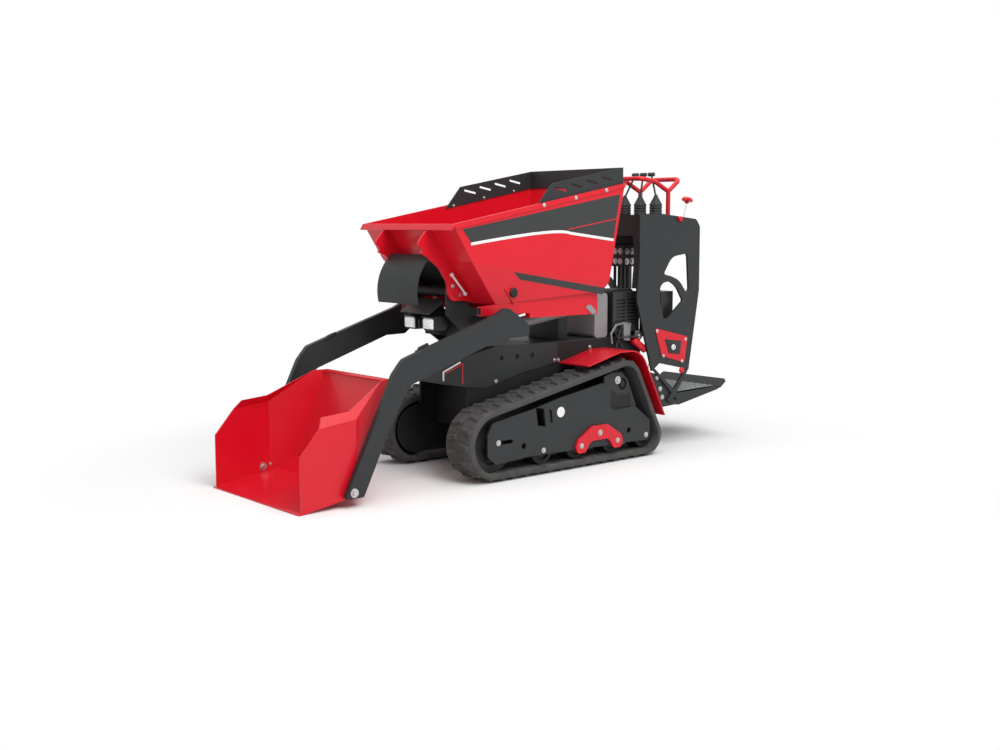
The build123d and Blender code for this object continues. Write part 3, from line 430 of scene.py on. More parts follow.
def makeBoltTree(spec):
    # a hexagon head on a washer; the marked amount is the size
    tree, given, upright, size = startTree("hexBolts", [
        ("Head radius", "NodeSocketFloat", spec["headRadius"]),
        ("Head height", "NodeSocketFloat", spec["headHeight"]),
        ("Washer radius", "NodeSocketFloat", spec["washerRadius"]),
        ("Washer height", "NodeSocketFloat", spec["washerHeight"])])
    washer = addNode(tree, "GeometryNodeMeshCylinder", {"Vertices": spec["washerSides"],
                                                        "Radius": given.outputs["Washer radius"],
                                                        "Depth": given.outputs["Washer height"]})
    top = combine(tree, "MULTIPLY", given.outputs["Head radius"], spec["headTop"])
    head = addNode(tree, "GeometryNodeMeshCone", {"Vertices": spec["headSides"], "Radius Top": top,
                                                  "Radius Bottom": given.outputs["Head radius"],
                                                  "Depth": given.outputs["Head height"]})
    both = addNode(tree, "GeometryNodeJoinGeometry")
    for node in (head, washer):
        tree.links.new(node.outputs["Mesh"], both.inputs["Geometry"])
    return endTree(tree, given, both.outputs["Geometry"], upright, size)


def makeSetOutTree():
    # any shape; the marked amount is a turn about the aim
    tree, given, upright, twist = startTree("setOut", [("Shape", "NodeSocketObject", None)])
    shape = addNode(tree, "GeometryNodeObjectInfo", {"Object": given.outputs["Shape"]})
    spin = addNode(tree, "FunctionNodeAxisAngleToRotation", {"Axis": (0, 0, 1), "Angle": twist})
    turn = addNode(tree, "FunctionNodeRotateRotation", {"Rotation": upright, "Rotate By": spin.outputs["Rotation"]},
                   rotation_space="LOCAL")
    return endTree(tree, given, shape.outputs["Geometry"], turn.outputs["Rotation"], (1, 1, 1))


hexBolts = makeBoltTree(boltSpec)
setOut = makeSetOutTree()


def runTree(piece, tree, **values):
    mod = piece.modifiers.new(tree.name, "NODES")
    mod.node_group = tree
    for item in tree.interface.items_tree:
        if item.item_type == "SOCKET" and item.in_out == "INPUT" and item.name in values:
            mod[item.identifier] = values[item.name]
    settle(piece)


def markedField(name, body, slot, rows, tree, **values):
    # rows are (x, y, z, aim, amount)
    mesh = bpy.data.meshes.new(name)
    mesh.from_pydata([at(x, y, z) for x, y, z, aim, amount in rows], [], [])
    mesh.attributes.new("aim", "FLOAT_VECTOR", "POINT")
    mesh.attributes.new("amount", "FLOAT", "POINT")
    for k, (x, y, z, aim, amount) in enumerate(rows):
        mesh.attributes["aim"].data[k].vector = aim
        mesh.attributes["amount"].data[k].value = amount
    piece = addObject(name, mesh)
    runTree(piece, tree, **values)
    for attribute in ("aim", "amount"):
        stale = piece.data.attributes.get(attribute)
        if stale:
            piece.data.attributes.remove(stale)
    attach(piece, body)


def boltField(name, body, rows):
    markedField(name, body, "steel", mirrorRows(rows), hexBolts, Finish=finish["zincSteel"])


def mirrorRows(rows):
    return rows + [(x, -y, z, (aim[0], -aim[1], aim[2]), amount) for x, y, z, aim, amount in rows]


# bolts: spots are (x, z, size) on a face at the given distance from the middle
outward, inward, forward = (0, 1, 0), (0, -1, 0), (1, 0, 0)
boltSpots = dict(
    trackFrame=dict(body="chassis", face=375.0, aim=outward,
                    spots=[(486, 178, 1.0), (210, 112, 1.0), (-486, 108, 1.05)]),
    rocker=dict(body="chassis", face=387.0, aim=outward,
                spots=[(-25.5, 107, 1.0), (-149.5, 157, 1.1), (-271, 107, 1.0)]),
    upperBox=dict(body="chassis", face=190.0, aim=outward, spots=[(-30, 501, 0.7), (342, 428, 0.75)]),
    mainBeam=dict(body="chassis", face=184.0, aim=outward, spots=[(-62, 499, 0.7), (-275, 549, 0.7)]),
    driveMount=dict(body="chassis", face=363.0, aim=outward, spots=[(-291, 398, 1.5)]),
    rearBracket=dict(body="chassis", face=238.0, aim=outward,
                     spots=[(-715, 364, 1.0), (-739, 303, 1.0), (-755, 258, 1.0)]),
    sidePanel=dict(body="chassis", face=254.0, aim=outward,
                   spots=[(-691, 608, 0.7), (-914, 553, 0.7), (-743, 477, 0.7), (-888, 439, 0.7)]),
    railOutside=dict(body="skip", face=344.3, aim=outward,
                     spots=[(184, 1241, 0.75), (-18, 1277, 0.75), (-220, 1315, 0.75)]),
    railInside=dict(body="skip", face=330.0, aim=inward,
                    spots=[(174, 1245, 0.6), (-24, 1286, 0.6), (-225, 1323, 0.6)]),
    pivotBracket=dict(body="skip", face=167.5, aim=outward, spots=[(578, 877, 0.8), (541, 839, 0.8)]),
    armPin=dict(body="arms", face=388.0, aim=outward, spots=[(1271, 64, 1.5)]),
    bucketPin=dict(body="bucket", face=347.5, aim=inward, spots=[(1271, 64, 1.5), (1232, 72, 0.7)]),
)
boltPieces = dict(chassis="chassis_bolts", skip="skip_bolts", arms="arm_bolts", bucket="bucket_bolts")
for body, name in boltPieces.items():
    groups = [group for group in boltSpots.values() if group["body"] == body]
    boltField(name, body, [(x, group["face"], z, group["aim"], size)
                           for group in groups for x, z, size in group["spots"]])

valveSpec = dict(heights=(962, 1014), sideFace=80.5, sideColumns=(-718, -680, -642), sideSize=1.3,
                 frontFace=-619.5, frontColumns=(20, 56), frontSize=1.2)


def makeValveFittings(spec):
    rows = [(x, spec["sideFace"], z, outward, spec["sideSize"])
            for x in spec["sideColumns"] for z in spec["heights"]]
    rows += [(spec["frontFace"], y, z, forward, spec["frontSize"])
             for y in spec["frontColumns"] for z in spec["heights"]]
    boltField("valve_fittings", "chassis", rows)


makeValveFittings(valveSpec)
print("bolts placed")


# plain stripes

def arcLine(start, middle, end, count):
    # points of a gentle bow through three points, as a quadratic curve
    bow = [(2 * m - (a + b) / 2) for a, m, b in zip(start, middle, end)]
    points = []
    for k in range(count + 1):
        t = k / count
        points.append(tuple((1 - t) ** 2 * a + 2 * t * (1 - t) * c + t ** 2 * b for a, c, b in zip(start, bow, end)))
    return points


sideBand = dict(face=338.2, top=[(660, 1132), (-318, 1297)], rear=(-277, 1085), bowFront=(612, 1075),
                bowMiddle=(200, 1121), bowEnd=(13, 1119), bowSteps=16, stripe=13.0,
                line=[(-311, 1182), (26, 1130)], lineWidth=5.0, lineFace=338.7)
bow = arcLine(sideBand["bowFront"], sideBand["bowMiddle"], sideBand["bowEnd"], sideBand["bowSteps"])
bandOutline = [*sideBand["top"], sideBand["rear"], *bow[::-1]]
addFilm("side_band", bandOutline, sideBand["face"], "darkFilm", "skip", "grey_paint")
stripeTop = bow + [sideBand["rear"]]
stripeLow = [(x, z - sideBand["stripe"]) for x, z in stripeTop]
addFilm("side_stripe", stripeTop + stripeLow[::-1], sideBand["face"], "whiteFilm", "skip", "grey_paint")
print("stripes placed")


# films on faces that lean or taper

def ribbon(points, width):
    # outline of a bent line with the given width
    normals = []
    for (ua, va), (ub, vb) in zip(points, points[1:]):
        d = math.hypot(ub - ua, vb - va)
        normals.append(((va - vb) / d, (ub - ua) / d))
    sides = [[], []]
    for i, (u, v) in enumerate(points):
        first, last = normals[max(i - 1, 0)], normals[min(i, len(normals) - 1)]
        lean = 1 + first[0] * last[0] + first[1] * last[1]
        step = ((first[0] + last[0]) / lean * width / 2, (first[1] + last[1]) / lean * width / 2)
        sides[0].append((u + step[0], v + step[1]))
        sides[1].append((u - step[0], v - step[1]))
    return sides[0] + sides[1][::-1]


def addSkin(name, outline, place, look, body, slot, thickness=0.6, gap=0.1):
    # place(u, v, lift, side) is the point of the face, raised by lift
    def build(side, word):
        bm = bmesh.new()
        addRings(bm, [[place(u, v, lift, side) for u, v in outline] for lift in (gap, thickness)])
        finishPiece(f"{name}_{word}", bm, look, body, slot)
    bothSides(build)


# the skip's lower side leans inwards below its fold
lowerSide = dict(half=338.0, fold=(620.0, 991.0), slope=0.1359, lean=0.2216,
                 strip=[(361, 941), (-239, 846), (-215, 817), (319, 905)],
                 bracket=[(403, 864), (293, 853), (336, 791)], bracketThickness=5.0)


def leanPlace(x, z, lift, side):
    fold = lowerSide["fold"][1] + (x - lowerSide["fold"][0]) * lowerSide["slope"]
    return at(x, side * (lowerSide["half"] - lowerSide["lean"] * (fold - z) + lift), z)


addSkin("lower_strip", lowerSide["strip"], leanPlace, "darkFilm", "skip", "grey_paint")
addSkin("stop_bracket", lowerSide["bracket"], leanPlace, "redPaint", "skip", "red_paint",
        thickness=lowerSide["bracketThickness"])
bandLine = ribbon(sideBand["line"], sideBand["lineWidth"])
addFilm("band_line", bandLine, sideBand["lineFace"], "redFilm", "skip", "red_paint")

# two bent stripes on the tapered sides of the nose
noseSide = dict(rear=(526.0, 190.0), front=(600.0, 110.0),
                white=[(101, 443), (101, 484), (22, 531)], whiteWidth=7.0,
                red=[(90, 478), (12, 524), (12, 432)], redWidth=4.5)


def nosePlace(s, z, lift, side):
    dx = noseSide["front"][0] - noseSide["rear"][0]
    dy = noseSide["front"][1] - noseSide["rear"][1]
    d = math.hypot(dx, dy)
    x = noseSide["rear"][0] + (s * dx - lift * dy) / d
    y = noseSide["rear"][1] + (s * dy + lift * dx) / d
    return at(x, side * y, z)


whiteLine = ribbon(noseSide["white"], noseSide["whiteWidth"])
redLine = ribbon(noseSide["red"], noseSide["redWidth"])
addSkin("nose_white", whiteLine, nosePlace, "whiteFilm", "chassis", "grey_paint")
addSkin("nose_red", redLine, nosePlace, "redFilm", "chassis", "red_paint")
print("films placed")


# rubber tracks: a smooth band with rounded shoulders and a row of bars on each half

def tapered(name, size, top, height, bevel, sunk=1.5):
    # small raised block for setOut: size and top are (along, across) in millimetres
    bm = bmesh.new()
    corners = ((-1, -1), (1, -1), (1, 1), (-1, 1))
    addRings(bm, [[Vector((x * a / 2000, y * b / 2000, z / 1000)) for x, y in corners]
                  for (a, b), z in ((size, -sunk), (top, height))])
    shape = meshObject(name, bm)
    soften(shape, bevel)
    return shape


def setOutField(name, body, slot, look, rows, shape):
    markedField(name, body, slot, rows, setOut, Shape=shape, Finish=finish[look])
    bpy.data.objects.remove(shape)


trackSpec = dict(inner=210.0, outer=390.0, band=27.0, shoulder=10.0, shoulderCut=3.0, wheelGap=0.2, samples=300,
                 wheels=[(502.0, 172.0, 132.0), (-325.0, 377.0, 90.0), (-498.0, 103.0, 63.0)],
                 bars=41, bar=(30, 70), barTop=(17, 58), barHeight=10.0, barBevel=3.0, twist=0.20,
                 plate=(216.0, 220.0), plateGap=16.0, plateSteps=90)


def beltLine(spec, extra, count):
    # evenly spaced (x, z, normal x, normal z) around the three wheels
    wheels = [(x, z, r + extra) for x, z, r in spec["wheels"]]
    normals = []
    for (xa, za, ra), (xb, zb, rb) in zip(wheels, wheels[1:] + wheels[:1]):
        d = math.hypot(xb - xa, zb - za)
        ux, uz, lean = (xb - xa) / d, (zb - za) / d, (ra - rb) / d
        level = math.sqrt(1 - lean * lean)
        normals.append((ux * lean + uz * level, uz * lean - ux * level))
    stretches = []
    for i, (nx, nz) in enumerate(normals):
        ahead = (i + 1) % len(wheels)
        (xa, za, ra), (xb, zb, rb) = wheels[i], wheels[ahead]
        start, end = (xa + ra * nx, za + ra * nz), (xb + rb * nx, zb + rb * nz)
        stretches.append((math.dist(start, end), start, end, None))
        first = math.atan2(nz, nx)
        last = math.atan2(normals[ahead][1], normals[ahead][0])
        stretches.append((rb * ((last - first) % (2 * math.pi)), (xb, zb), rb, first))
    total = sum(row[0] for row in stretches)
    line = []
    for k in range(count):
        s = total * k / count
        i = 0
        while s > stretches[i][0]:
            s -= stretches[i][0]
            i += 1
        length, start, end, first = stretches[i]
        if first is None:
            t = s / length
            nx, nz = normals[i // 2]
            line.append((start[0] + (end[0] - start[0]) * t, start[1] + (end[1] - start[1]) * t, nx, nz))
        else:
            a = first + s / end
            line.append((start[0] + end * math.cos(a), start[1] + end * math.sin(a), math.cos(a), math.sin(a)))
    return line


def makeTracks(spec):
    inner, outer, band = spec["inner"], spec["outer"], spec["band"]
    soft, cut = spec["shoulder"], spec["shoulderCut"]
    section = [(inner, 0), (outer, 0), (outer, band - soft), (outer - cut, band - cut), (outer - soft, band),
               (inner + soft, band), (inner + cut, band - cut), (inner, band - soft)]
    quarter = (outer - inner) / 4

    def build(side, word):
        bm = bmesh.new()
        rings = []
        for x, z, nx, nz in beltLine(spec, spec["wheelGap"], spec["samples"]):
            rings.append([at(x + nx * h, side * y, z + nz * h) for y, h in section])
        addRings(bm, rings, closed=True)
        loop = finishPiece(f"track_band_{word}", bm, "trackRubber", "chassis", "rubber", smooth=50.0)
        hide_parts(f"track_{word}")
        rows = []
        for k, (x, z, nx, nz) in enumerate(beltLine(spec, band, 2 * spec["bars"])):
            y = inner + quarter if k % 2 else outer - quarter
            rows.append((x, side * y, z, (nx, 0, nz), (1 if k % 2 else -1) * side * spec["twist"]))
        bar = tapered("track_bar", spec["bar"], spec["barTop"], spec["barHeight"], spec["barBevel"])
        setOutField(f"track_bars_{word}", "chassis", "rubber", "trackRubber", rows, bar)
        # painted shade: the inner plate takes the near-black copy of the chassis paint for the shadow inside the track
        # loop
        bm = bmesh.new()
        addPrism(bm, [(x, z) for x, z, nx, nz in beltLine(spec, -spec["plateGap"], spec["plateSteps"])],
                 side * spec["plate"][0], side * spec["plate"][1])
        finishPiece(f"inner_plate_{word}", bm, "underPaint", "chassis", "grey_paint", bevel=1.0)
    bothSides(build)


makeTracks(trackSpec)
print("tracks made")


# work lamps: bright lens in a dark housing

lampSpec = dict(y=70.0, half=33.5,
                outline=[(627.2, 681), (645, 681), (649.5, 686), (649.5, 724), (645, 729), (627.2, 729)])


def makeLamps(spec):
    def build(side, word):
        bm = bmesh.new()
        addPrism(bm, spec["outline"], side * (spec["y"] - spec["half"]), side * (spec["y"] + spec["half"]))
        finishPiece(f"lamp_lens_{word}", bm, "lampLens", f"lamp_{word}", "chrome", bevel=1.2)
    bothSides(build)


makeLamps(lampSpec)


# levers with square bellows

leverSpec = dict(x=-823.0, deck=1180.0, gap=0.3, feet=[(-111, -57), (0, 0), (111, 57)], skirt=31.0, skirtHeight=6.0,
                 firstFold=9.0, folds=5, rise=14.0, fold=28.0, valley=24.0, shoulder=17.36, shoulderHeight=96.0,
                 neckFoot=8.0, neckHeight=8.0, neck=7.0, apex=1306.0, lean=-22.0, rod=5.0, rodSunk=10.0,
                 knobZ=1412.0, knobHalf=20.0,
                 knob=[(7, 0), (10.5, 2), (11, 10), (9.5, 20), (11, 30), (10.5, 38), (7, 40)])


def squareRing(x, y, z, half, corner=0.25):
    side = half - half * corner
    corners = [(-half, -side), (-side, -half), (side, -half), (half, -side),
               (half, side), (side, half), (-side, half), (-half, side)]
    return [at(x + dx, y + dy, z) for dx, dy in corners]


def makeLevers(spec):
    # rows of the bellows are (height, half width)
    base = spec["deck"] + spec["gap"]
    bellows = [(base, spec["skirt"]), (base + spec["skirtHeight"], spec["skirt"])]
    for k in range(spec["folds"]):
        z = base + spec["firstFold"] + k * spec["rise"]
        bellows += [(z, spec["valley"]), (z + spec["rise"] / 2, spec["fold"])]
    bellows += [(base + spec["shoulderHeight"], spec["shoulder"]),
                (spec["apex"] - spec["neckHeight"], spec["neckFoot"]), (spec["apex"], spec["neck"])]
    boots, rods, knobs = bmesh.new(), bmesh.new(), bmesh.new()
    for y, knobY in spec["feet"]:
        addRings(boots, [squareRing(spec["x"], y, z, half) for z, half in bellows])
        head = (spec["x"] + spec["lean"], knobY, spec["knobZ"])
        addBar(rods, (spec["x"], y, spec["apex"] - spec["rodSunk"]), head, spec["rod"])
        addLathe(knobs, (head[0], knobY - spec["knobHalf"], head[2]), (0, 1, 0), spec["knob"], steps=20)
    piece = finishPiece("lever_boots", boots, "bootRubber", "chassis", "black_plastic", bevel=1.0, smooth=25.0)
    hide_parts("control_levers")
    finishPiece("lever_rods", rods, "blackPlastic", "chassis", "black_plastic")
    finishPiece("lever_knobs", knobs, "bootRubber", "chassis", "black_plastic")


makeLevers(leverSpec)
print("levers made")


# console trim: switch plates, key switch, knobs

consoleSpec = dict(face=254.0, plate=[(-749, 563), (-879, 546), (-868, 477), (-783, 487)], plateThickness=2.0,
                   key=(-815, 517), keyLift=1.8, keyShape=[(15, 0), (15, 2), (11, 5), (10.5, 8), (4, 8.2)],
                   slotHalf=(1.6, 6.0), slotLift=9.0, slotThickness=1.6,
                   rod=((-942, 200, 1180), (-965, 200, 1268)), rodRadius=3.5,
                   star=[(8, -8), (11, 0), (25, 5), (28, 13), (24, 22), (9, 26)],
                   cap=(-851, 250, 1180), capShape=[(12, 0), (14, 3), (14, 12), (11, 16), (3, 17)],
                   knob=(-878, 250, 392), knobShape=[(7, 0), (7, 4), (15, 6), (16, 14), (12, 19), (4, 20)])


def makeConsoleTrim(spec):
    def build(side, word):
        face, (x, z), (a, b) = spec["face"], spec["key"], spec["slotHalf"]
        addPlate(side, word, "switch_plate", spec["plate"], face, "darkPaint", "chassis", "grey_paint",
                 thickness=spec["plateThickness"], bevel=0.5)
        addButton(side, word, "key_switch", (x, face + spec["keyLift"], z), spec["keyShape"],
                  "whiteFilm", "chassis", "steel")
        addPlate(side, word, "key_slot", [(x - a, z - b), (x + a, z - b), (x + a, z + b), (x - a, z + b)],
                 face + spec["slotLift"], "blackPlastic", "chassis", "black_plastic", thickness=spec["slotThickness"])
    bothSides(build)
    bm = bmesh.new()
    foot, head = spec["rod"]
    addBar(bm, foot, head, spec["rodRadius"])
    finishPiece("knob_rod", bm, "zincSteel", "chassis", "steel")
    axis = (Vector(head) - Vector(foot)).normalized()
    bm = bmesh.new()
    addLathe(bm, head, axis, spec["star"], steps=40, lobes=5, wave=0.13)
    addLathe(bm, spec["cap"], (0, 1, 0), spec["capShape"], steps=24)
    addLathe(bm, spec["knob"], (0, 1, 0), spec["knobShape"], steps=40, lobes=6, wave=0.07)
    finishPiece("red_knobs", bm, "redPaint", "chassis", "red_paint", smooth=40.0)


makeConsoleTrim(consoleSpec)


# small pieces on the skip, the arms and the track frames

smallSpec = dict(prop=[(588, 172.5, 929), (511, 172.5, 841)], propRadius=5.0, propFace=167.2,
                 propFoot=[(8, 0), (8, 10), (6, 11)],
                 flag=[(-128, 757), (-140, 769), (-164, 767), (-197, 738), (-191, 723), (-172, 721)],
                 flagFace=300.2, flagThickness=4.0,
                 boss=(349, 313, 846), bossShape=[(22, 0), (22, 12), (18, 15), (5, 16)],
                 plug=(102, 375, 281), plugShape=[(24.5, 0), (24.5, 1.5), (23.5, 2.2), (4, 2.3)],
                 stop=[(862, 642), (868, 653), (914, 638), (924, 621)], stopFace=350.0, stopThickness=12.0)


def makeSmallPieces(spec):
    def build(side, word):
        bm = bmesh.new()
        start, end = [(x, side * y, z) for x, y, z in spec["prop"]]
        addBar(bm, start, end, spec["propRadius"])
        for x, y, z in (start, end):
            addLathe(bm, (x, side * spec["propFace"], z), (0, side, 0), spec["propFoot"], steps=18)
        finishPiece(f"prop_rod_{word}", bm, "whiteFilm", "skip", "steel")
        addPlate(side, word, "pin_flag", spec["flag"], spec["flagFace"], "tankGrey", "skip", "tank_grey",
                 thickness=spec["flagThickness"], bevel=0.8)
        addButton(side, word, "stop_boss", spec["boss"], spec["bossShape"], "wheelIron", "skip", "black_plastic")
        addButton(side, word, "frame_plug", spec["plug"], spec["plugShape"], "whiteFilm", "chassis", "steel", steps=36)
        addPlate(side, word, "arm_stop", spec["stop"], spec["stopFace"], "darkPaint", "arms", "grey_paint",
                 thickness=spec["stopThickness"], bevel=1.5)
    bothSides(build)


makeSmallPieces(smallSpec)

# dark sleeve on the pivot pin, and a near-black sheet on the skip's front between the ribs as painted shade for the
# shadow behind the guard
pivotTrim = dict(pin=(skipPin["x"], skipPin["z"]), sleeve=24.0, sleeveHalf=131.0, chamfer=2.0, top=(600.5, 984.5),
                 foot=(474.0, 835.2), normal=(0.7629, -0.6465), lift=(0.2, 0.9), half=152.0)


def makePivotTrim(spec):
    bm = bmesh.new()
    x, z = spec["pin"]
    r, half, cut = spec["sleeve"], spec["sleeveHalf"], spec["chamfer"]
    addLathe(bm, (x, -half, z), (0, 1, 0), [(r - cut, 0), (r, cut), (r, 2 * half - cut), (r - cut, 2 * half)], steps=32)
    finishPiece("pivot_sleeve", bm, "underPaint", "skip", "black_plastic", smooth=40.0)
    # painted shade: near-black sheet on the skip's front between the ribs, for the shadow behind the guard
    bm = bmesh.new()
    low, high = spec["lift"]
    nx, nz = spec["normal"]
    (xa, za), (xb, zb) = spec["top"], spec["foot"]
    addPrism(bm, [(xa + nx * low, za + nz * low), (xa + nx * high, za + nz * high), (xb + nx * high, zb + nz * high),
                  (xb + nx * low, zb + nz * low)], -spec["half"], spec["half"])
    finishPiece("front_mat", bm, "underPaint", "skip", "black_plastic")


makePivotTrim(pivotTrim)

# painted shade: near-black sheets across the sub-frame's front ends stand in for the shade inside the tubes
tubeShade = dict(x=(522.2, 522.7), y=(274.0, 296.0), z=(752.0, 782.0))


def makeTubeShade(side, word):
    bm = bmesh.new()
    (ya, yb), (za, zb) = tubeShade["y"], tubeShade["z"]
    addRings(bm, [[at(x, side * y, z) for y, z in ((ya, za), (yb, za), (yb, zb), (ya, zb))] for x in tubeShade["x"]])
    finishPiece(f"tube_end_{word}", bm, "underPaint", "skip", "black_plastic")


bothSides(makeTubeShade)

# bucket: cutting edge in front and a folded lip on the back wall
bucketTrim = dict(edge=[(1498, 7.4), (1518, 4.4), (1518, 0.4), (1498, 0.8)], edgeHalf=357.0,
                  lip=[(990, 498.6), (1013, 491.5), (1012, 488.5), (990, 495.4)], lipHalf=236.0)
bm = bmesh.new()
addPrism(bm, bucketTrim["edge"], -bucketTrim["edgeHalf"], bucketTrim["edgeHalf"])
addPrism(bm, bucketTrim["lip"], -bucketTrim["lipHalf"], bucketTrim["lipHalf"])
finishPiece("bucket_edges", bm, "redPaint", "bucket", "red_paint", bevel=0.8)

# painted shade: a near-black sheet on the track frame stands in for the shadow inside the drive's pocket
drivePocketShade = dict(face=363.2, outline=[(-246, 352), (-250, 262), (-376, 252), (-390, 291), (-372, 336), (-352, 322),
                                       (-318, 330), (-300, 318), (-276, 338)])
addFilm("drive_cover", drivePocketShade["outline"], drivePocketShade["face"], "underPaint", "chassis", "grey_paint")


# engine trim above the rear deck's edge: linkage arch, regulator, oil canister, shut-off cap

trimSpec = dict(arch=[(-400, 557), (-392, 608), (-427, 651), (-484, 658), (-536, 650)], archWidth=11.0,
                archFace=212.0, archThickness=7.0,
                block=[(-474, 654), (-525, 647), (-519, 566), (-475, 573)], blockFace=190.0, blockThickness=36.0,
                can=[(-551, 569), (-642, 511)], canY=218.0, canNeck=[(9, -8), (14, -6), (14, 0), (19, 4)],
                canFoot=[(19, -6), (15, 0), (5, 1)],
                shutOff=(-596, 214, 582), shutOffShape=[(15, 0), (15, 8), (10, 14), (3, 15)],
                links=[((-423, 626), (-483, 531)), ((-473, 638), (-439, 534))], linkY=204.0, linkRadius=6.0,
                hubDepth=9.0, hub=[(10, 0), (10, 18), (7, 20)])


def makeEngineTrim(spec):
    def build(side, word):
        bm = bmesh.new()
        for part, outline in (("arch", ribbon(spec["arch"], spec["archWidth"])), ("block", spec["block"])):
            face, thickness = spec[part + "Face"], spec[part + "Thickness"]
            addPrism(bm, outline, side * face, side * (face + thickness))
        finishPiece(f"regulator_{word}", bm, "castAlloy", "chassis", "engine_metal", bevel=1.5)
        bm = bmesh.new()
        (xa, za), (xb, zb) = spec["can"]
        d = math.hypot(xb - xa, zb - za)
        profile = spec["canNeck"] + [(radius, d + along) for radius, along in spec["canFoot"]]
        addLathe(bm, (xa, side * spec["canY"], za), ((xb - xa) / d, 0, (zb - za) / d), profile, steps=28)
        finishPiece(f"oil_canister_{word}", bm, "redPaint", "chassis", "red_paint", smooth=30.0)
        addButton(side, word, "shut_off", spec["shutOff"], spec["shutOffShape"], "zincSteel", "chassis", "steel")
        bm = bmesh.new()
        y = spec["linkY"]
        for (xa, za), (xb, zb) in spec["links"]:
            addBar(bm, (xa, side * y, za), (xb, side * y, zb), spec["linkRadius"])
            addLathe(bm, (xa, side * (y - spec["hubDepth"]), za), (0, side, 0), spec["hub"], steps=18)
        finishPiece(f"throttle_links_{word}", bm, "blackPlastic", "chassis", "black_plastic")
    bothSides(build)


makeEngineTrim(trimSpec)

# filler caps of the two tanks
tankCaps = dict(places=[(-357, 105, 812.2), (-828, 120, 805.2)],
                profile=[(24, 0), (24, 3), (20, 4), (20, 10), (17, 13), (4, 13.5)])
bm = bmesh.new()
for place in tankCaps["places"]:
    addLathe(bm, place, (0, 0, 1), tankCaps["profile"], steps=48, lobes=12, wave=0.02)
finishPiece("tank_caps", bm, "blackPlastic", "chassis", "black_plastic", smooth=40.0)


# footboard: grip plate with rows of raised lozenges

gripSpec = dict(front=(-902.0, 268.6), rear=(-1212.0, 275.8), half=200.0, thickness=2.0, along=13, across=17,
                lozenge=(24, 8), top=(18, 4), height=2.2, bevel=0.6, turn=45.0)


def makeGrip(spec):
    (xa, za), (xb, zb) = spec["front"], spec["rear"]
    d = math.hypot(xb - xa, zb - za)
    up = ((zb - za) / d, (xa - xb) / d)
    lift = (up[0] * spec["thickness"], up[1] * spec["thickness"])
    bm = bmesh.new()
    addPrism(bm, [(xa, za), (xb, zb), (xb + lift[0], zb + lift[1]), (xa + lift[0], za + lift[1])],
             -spec["half"], spec["half"])
    finishPiece("grip_plate", bm, "gripPlate", "footboard", "grey_paint")
    turn = math.radians(spec["turn"])
    rows = []
    for i in range(spec["along"]):
        for j in range(spec["across"]):
            t = (i + 0.5) / spec["along"]
            x, z = xa + (xb - xa) * t + lift[0], za + (zb - za) * t + lift[1]
            y = spec["half"] * (2 * (j + 0.5) / spec["across"] - 1)
            rows.append((x, y, z, (up[0], 0, up[1]), turn if (i + j) % 2 else -turn))
    lozenge = tapered("lozenge", spec["lozenge"], spec["top"], spec["height"], spec["bevel"])
    setOutField("grip_lozenges", "footboard", "grey_paint", "gripPlate", rows, lozenge)


makeGrip(gripSpec)
print("trim placed")


# stage, light and camera

stageSpec = dict(reach=30.0, drop=0.0005, color=(0.90, 0.90, 0.90), roughness=0.9, fade=(1.25, 2.3))
worldSpec = dict(color=(1.0, 1.0, 1.0), level=0.42)
panels = dict(
    key=dict(place=(1.0, 4.1, 4.3), aim=(0.1, 0, 0.4), size=(3.0, 3.0), power=190),
    top=dict(place=(-0.4, 0.3, 4.6), aim=(0, 0, 0.4), size=(4.0, 4.0), power=110),
    front=dict(place=(5.0, 0.6, 1.8), aim=(0.4, 0, 0.5), size=(2.5, 2.0), power=24),
)
cameraSpec = dict(place=(4057.1, 4544.5, 1164.1), yaw=49.349, pitch=7.035, focalPixels=1239.81, widthPixels=1000,
                  sensor=36.0, clipEnd=100.0)
white = (1, 1, 1, 1)


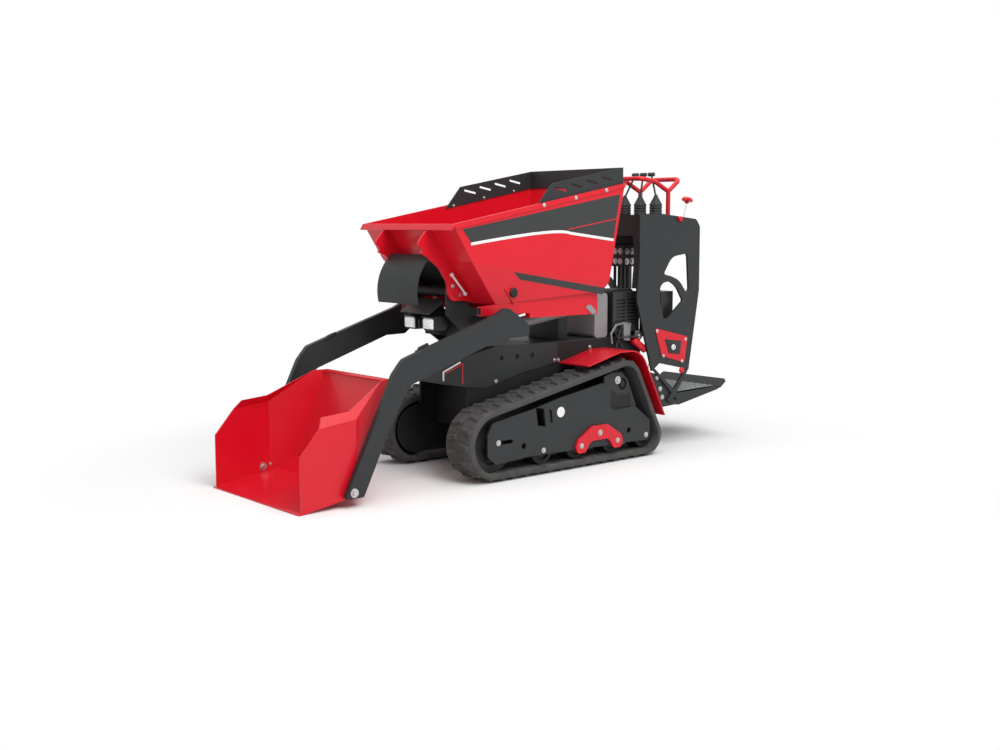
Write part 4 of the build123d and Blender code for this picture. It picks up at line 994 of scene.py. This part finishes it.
def makeStage(spec):
    # plain floor that fades to white away from the machine
    mesh = bpy.data.meshes.new("floor")
    r = spec["reach"]
    mesh.from_pydata([(-r, -r, 0), (r, -r, 0), (r, r, 0), (-r, r, 0)], [], [(0, 1, 2, 3)])
    floor = addObject("floor", mesh)
    floor.location.z = -spec["drop"]
    material, tree, shader = newMaterial("paleFloor")
    fill(tree, shader, {"Base Color": (*spec["color"], 1), "Roughness": spec["roughness"], "Specular IOR Level": 0.0})
    glow = addNode(tree, "ShaderNodeEmission", {"Color": white, "Strength": 1.0})
    path = addNode(tree, "ShaderNodeLightPath")
    seen = combine(tree, "MAXIMUM", path.outputs["Is Camera Ray"], path.outputs["Is Glossy Ray"])
    coord = addNode(tree, "ShaderNodeTexCoord")
    far = addNode(tree, "ShaderNodeVectorMath", {0: coord.outputs["Object"]}, operation="LENGTH")
    fade = remap(tree, far.outputs["Value"], spec["fade"], interpolation_type="SMOOTHSTEP")
    mix = addNode(tree, "ShaderNodeMixShader", {"Fac": combine(tree, "MULTIPLY", seen, fade),
                                                1: shader.outputs["BSDF"], 2: glow.outputs["Emission"]})
    fill(tree, tree.nodes["Material Output"], {"Surface": mix.outputs["Shader"]})
    mesh.materials.append(material)


def makeWorld(spec):
    world = bpy.data.worlds.new("softRoom")
    scene.world = world
    world.use_nodes = True
    tree = world.node_tree
    back = fill(tree, tree.nodes["Background"], {"Color": (*spec["color"], 1), "Strength": spec["level"]})
    plain = addNode(tree, "ShaderNodeBackground", {"Color": white, "Strength": 1.0})
    path = addNode(tree, "ShaderNodeLightPath")
    direct = combine(tree, "MAXIMUM", path.outputs["Is Camera Ray"], path.outputs["Is Glossy Ray"])
    seen = combine(tree, "MAXIMUM", direct, path.outputs["Is Transmission Ray"])
    mix = addNode(tree, "ShaderNodeMixShader", {"Fac": seen, 1: back.outputs["Background"],
                                                2: plain.outputs["Background"]})
    fill(tree, tree.nodes["World Output"], {"Surface": mix.outputs["Shader"]})


def addPanel(name, spec):
    light = bpy.data.lights.new(name, "AREA")
    light.shape = "RECTANGLE"
    light.size, light.size_y = spec["size"]
    light.energy = spec["power"]
    lamp = addObject(name, light)
    lamp.location = spec["place"]
    lamp.rotation_euler = (Vector(spec["aim"]) - Vector(spec["place"])).to_track_quat("-Z", "Y").to_euler()


def makeCamera(spec):
    data = bpy.data.cameras.new("photoView")
    camera = addObject("photoView", data)
    yaw, pitch = math.radians(spec["yaw"]), math.radians(spec["pitch"])
    look = Vector((-math.cos(yaw) * math.cos(pitch), -math.sin(yaw) * math.cos(pitch), -math.sin(pitch)))
    camera.location = at(*spec["place"])
    camera.rotation_euler = look.to_track_quat("-Z", "Y").to_euler()
    data.sensor_width = spec["sensor"]
    data.lens = spec["focalPixels"] / spec["widthPixels"] * spec["sensor"]
    data.clip_end = spec["clipEnd"]
    scene.camera = camera


scene.view_settings.view_transform = "Standard"
makeStage(stageSpec)
makeWorld(worldSpec)
for name, spec in panels.items():
    addPanel(name, spec)
makeCamera(cameraSpec)
print("stage ready")
